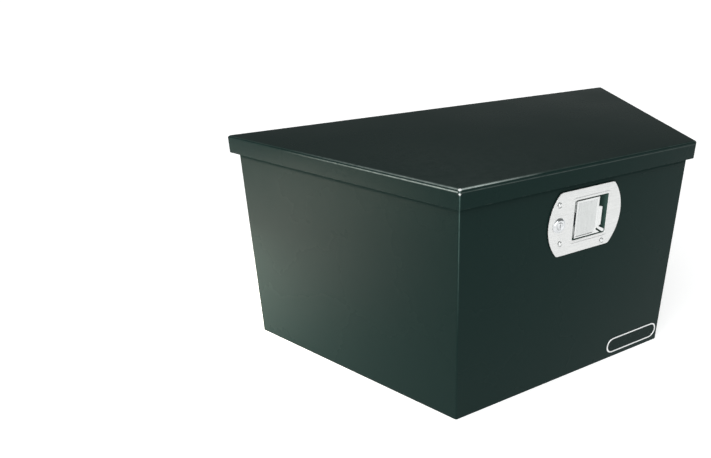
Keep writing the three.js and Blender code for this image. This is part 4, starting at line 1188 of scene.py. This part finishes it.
tube_paint = tube_finish()
stay_lean = math.atan2(STAY_FOOT.y - STAY_HEAD.y, STAY_HEAD.z - STAY_FOOT.z)
stay_length = (STAY_HEAD - STAY_FOOT).length
for hand, side in (("right", 1), ("left", -1)):
    stand = stood((side * STAY_X, STAY_FOOT.y, STAY_FOOT.z), "X", stay_lean)
    tube = bmesh.new()
    bore = STUD_RADIUS + PLAY
    bore_ends = [(bore, -TUBE_EYE_HALF), (bore, TUBE_EYE_HALF)]
    foot_eye = bore_ends[:1] + eye_rim(TUBE_EYE_HALF) + bore_ends[::-1]
    turned_on(tube, foot_eye, (0, 0, 0), (1, 0, 0))
    shoulder = EYE_RADIUS + PLAY
    tube_profile = [
        (0, EYE_RADIUS - 0.0006), (0.0035, EYE_RADIUS - 0.0004), (0.0052, shoulder + 0.0008),
        (0.0068, shoulder + 0.0022), (TUBE_RADIUS, shoulder + 0.0042), (TUBE_RADIUS, TUBE_LENGTH - 0.009),
        (TUBE_RADIUS - 0.0005, TUBE_LENGTH - 0.0083), (TUBE_RADIUS - 0.0005, TUBE_LENGTH - 0.0073),
        (TUBE_RADIUS, TUBE_LENGTH - 0.0066), (TUBE_RADIUS, TUBE_LENGTH - 0.0022),
        (TUBE_RADIUS - 0.0007, TUBE_LENGTH - 0.0006), (TUBE_RADIUS - 0.0022, TUBE_LENGTH),
        (GUIDE_RADIUS, TUBE_LENGTH), (GUIDE_RADIUS, TUBE_BOTTOM), (0, TUBE_BOTTOM),
    ]
    turned_on(tube, tube_profile, (0, 0, 0), (0, 0, 1), 36)
    bmesh.ops.transform(tube, matrix=stand, verts=tube.verts)
    tube = fitted(as_object(f"gas_tube_{hand}", tube), f"tube_{hand}", tube_paint)
    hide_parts(f"stay_tube_{hand}")

    rod = bmesh.new()
    rod_profile = [(0, ROD_START), (ROD_RADIUS - 0.0003, ROD_START), (ROD_RADIUS, ROD_START + 0.0003),
                   (ROD_RADIUS, stay_length - ROD_NECK), (0, stay_length - ROD_NECK)]
    turned_on(rod, rod_profile, (0, 0, 0), (0, 0, 1))
    stud_end = EYE_HALF + STUD_LENGTH
    head_eye = [(0, -EYE_HALF)] + eye_rim(EYE_HALF)
    head_eye += [(STUD_RADIUS + 0.0012, EYE_HALF), (STUD_RADIUS, EYE_HALF + 0.0008),
                 (STUD_RADIUS, stud_end - 0.0004), (STUD_RADIUS - 0.0004, stud_end), (0, stud_end)]
    turned_on(rod, head_eye, (0, 0, stay_length), (side, 0, 0))
    bmesh.ops.transform(rod, matrix=stand, verts=rod.verts)
    rod = fitted(as_object(f"gas_rod_{hand}", rod), f"rod_{hand}", chrome)
    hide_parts(f"stay_rod_{hand}")


# Blank plate: a thin aluminium plate bonded low on the front, with a bright bevelled edge round a
# black enamelled field. It is left without any mark.
PLATE_LOW, PLATE_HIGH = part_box("blank_plate")
PLATE_CORNER = 0.48 * (PLATE_HIGH.z - PLATE_LOW.z)
PLATE_BORDER = 0.0026
PLATE_EASE = 0.0003
FIELD_STEP = 0.0002
FIELD_SUNK = 0.00025
ALUMINIUM_COLOUR = (0.86, 0.87, 0.87, 1)
ENAMEL_COLOUR = (0.0055, 0.0150, 0.0135, 1)


def aluminium_finish():
    material, tree = blank_finish("plate_aluminium", 0.3, 1.0)
    grain = use(tree, brushed, {"Lines": (20.0, 800.0, 800.0)})
    colour = mixed(tree, product(tree, grain["Line"], 0.3), ALUMINIUM_COLOUR, BRUSHED_DARK)
    gloss = spread(tree, grain["Smudge"], 0.0, 1.0, 0.24, 0.38)
    return surfaced(material, colour, gloss, grain["Line"], 0.00002, 0.4)


def enamel_finish():
    material, tree = blank_finish("plate_enamel", 0.22)
    pool = noise(tree, 120.0, 3.0)
    lying = use(tree, settled_dust, {"Amount": 0.2})["Dust"]
    gloss = spread(tree, pool, 0.3, 0.7, 0.16, 0.3)
    surfaced(material, mixed(tree, lying, ENAMEL_COLOUR, DUST_COLOUR), gloss, pool, 0.00003, 0.3)
    shader_of(material)["Specular IOR Level"].default_value = COAT_SHEEN
    return material


plate = bmesh.new()
plate_ring = rounded_ring(plate, (PLATE_LOW.x, PLATE_HIGH.x), (PLATE_LOW.z, PLATE_HIGH.z), PLATE_CORNER,
                          PLATE_HIGH.y, 12)
plate_back = faces_of(bmesh.ops.contextual_create(plate, geom=plate_ring), "faces")
raised_plate = bmesh.ops.extrude_face_region(plate, geom=plate_back)
plate_rise = PLATE_LOW.y + PLATE_EASE - PLATE_HIGH.y
bmesh.ops.translate(plate, vec=(0, plate_rise, 0), verts=verts_of(raised_plate))
field = faces_of(raised_plate)[0]
for thickness, sink in ((PLATE_EASE, -PLATE_EASE), (PLATE_BORDER, 0.0), (FIELD_STEP, FIELD_SUNK)):
    bmesh.ops.inset_region(plate, faces=[field], thickness=thickness, depth=0.0, use_even_offset=True)
    bmesh.ops.translate(plate, vec=(0, sink, 0), verts=field.verts)
field.material_index = 1
plate = fitted(as_object("blank_nameplate", plate), "box", aluminium_finish(), 25)
flattened(plate)
plate.data.materials.append(enamel_finish())
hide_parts("blank_plate")


# Studio: a pale floor that glows a little, so that no hard shadow lies on it, one broad light from
# the front left, and two warm lamps close over the floor at the left, whose pools of light the
# slanted side mirrors.
FLOOR_PALE = (0.80, 0.80, 0.80, 1)
FLOOR_GLOW = 0.55
FLOOR_HALF = 60
FLOOR_DROP = 0.0004
AIR_COLOUR = (0.95, 1.0, 0.98, 1)
AIR_POWER = 0.22
LAMPS = (("floor_lamp", (-0.80, 0.34, 0.2), (0.02, -0.02, -0.2), 0.60, 9.3, (1.0, 0.90, 0.78)),
         ("far_floor_lamp", (-1.54, 0.38, 0.2), (0, 0, -0.2), 0.85, 21.5, (1.0, 0.94, 0.80)))
SUN_POWER = 2.7
SUN_WIDTH = math.radians(75)
SUN_WAY = (0.55, 0.62, -0.56)
CAMERA_PLACE = (-0.6657, -0.8870, 0.7013)
CAMERA_PITCH = math.radians(24.30)
CAMERA_YAW = math.radians(30.26)
CAMERA_LENS = 603.7 / 711 * 36
CAMERA_SHIFT = (-0.1156, 0.0066)


def floor_finish():
    material = bpy.data.materials.new("studio_floor")
    material.use_nodes = True
    tree = material.node_tree
    tree.nodes.remove(tree.nodes["Principled BSDF"])
    pale = node(tree, "BsdfDiffuse", {"Color": FLOOR_PALE}).outputs[0]
    glow = node(tree, "Emission", {"Color": (1, 1, 1, 1), "Strength": FLOOR_GLOW}).outputs[0]
    bright = node(tree, "AddShader", {0: pale, 1: glow}).outputs[0]
    tree.links.new(bright, tree.nodes["Material Output"].inputs["Surface"])
    return material


floor = bmesh.new()
bmesh.ops.create_grid(floor, x_segments=1, y_segments=1, size=FLOOR_HALF)
bmesh.ops.translate(floor, vec=(0, 0, -FLOOR_DROP), verts=floor.verts)
floor = as_object("studio_floor", floor, (0, 0, 1))
floor.data.materials.append(floor_finish())

world = bpy.data.worlds.new("studio_air")
world.use_nodes = True
air = world.node_tree
seen = node(air, "LightPath").outputs["Is Camera Ray"]
dim = node(air, "Background", {"Color": AIR_COLOUR, "Strength": AIR_POWER}).outputs[0]
white = node(air, "Background", {"Color": (1, 1, 1, 1), "Strength": 1.0}).outputs[0]
shown = node(air, "MixShader", {0: seen, 1: dim, 2: white}).outputs[0]
air.links.new(shown, air.nodes["World Output"].inputs[0])
air.nodes.remove(air.nodes["Background"])
scene.world = world


def aimed(made, way):
    made.rotation_euler = Vector(way).to_track_quat("-Z", "Y").to_euler()


for name, place, way, size, power, colour in LAMPS:
    lamp = bpy.data.lights.new(name, "AREA")
    lamp.energy = power
    lamp.size = size
    lamp.color = colour
    lamp_object = in_scene(name, lamp)
    lamp_object.location = place
    aimed(lamp_object, way)

sun = bpy.data.lights.new("broad_light", "SUN")
sun.energy = SUN_POWER
sun.angle = SUN_WIDTH
aimed(in_scene("broad_light", sun), SUN_WAY)

camera = bpy.data.cameras.new("photo_camera")
camera.lens = CAMERA_LENS
camera.sensor_width = 36
camera.shift_x, camera.shift_y = CAMERA_SHIFT
camera.clip_start = 0.05
camera_object = in_scene("photo_camera", camera)
camera_object.location = CAMERA_PLACE
camera_object.rotation_euler = (math.pi / 2 - CAMERA_PITCH, 0, -CAMERA_YAW)
scene.camera = camera_object
scene.view_settings.view_transform = "Standard"
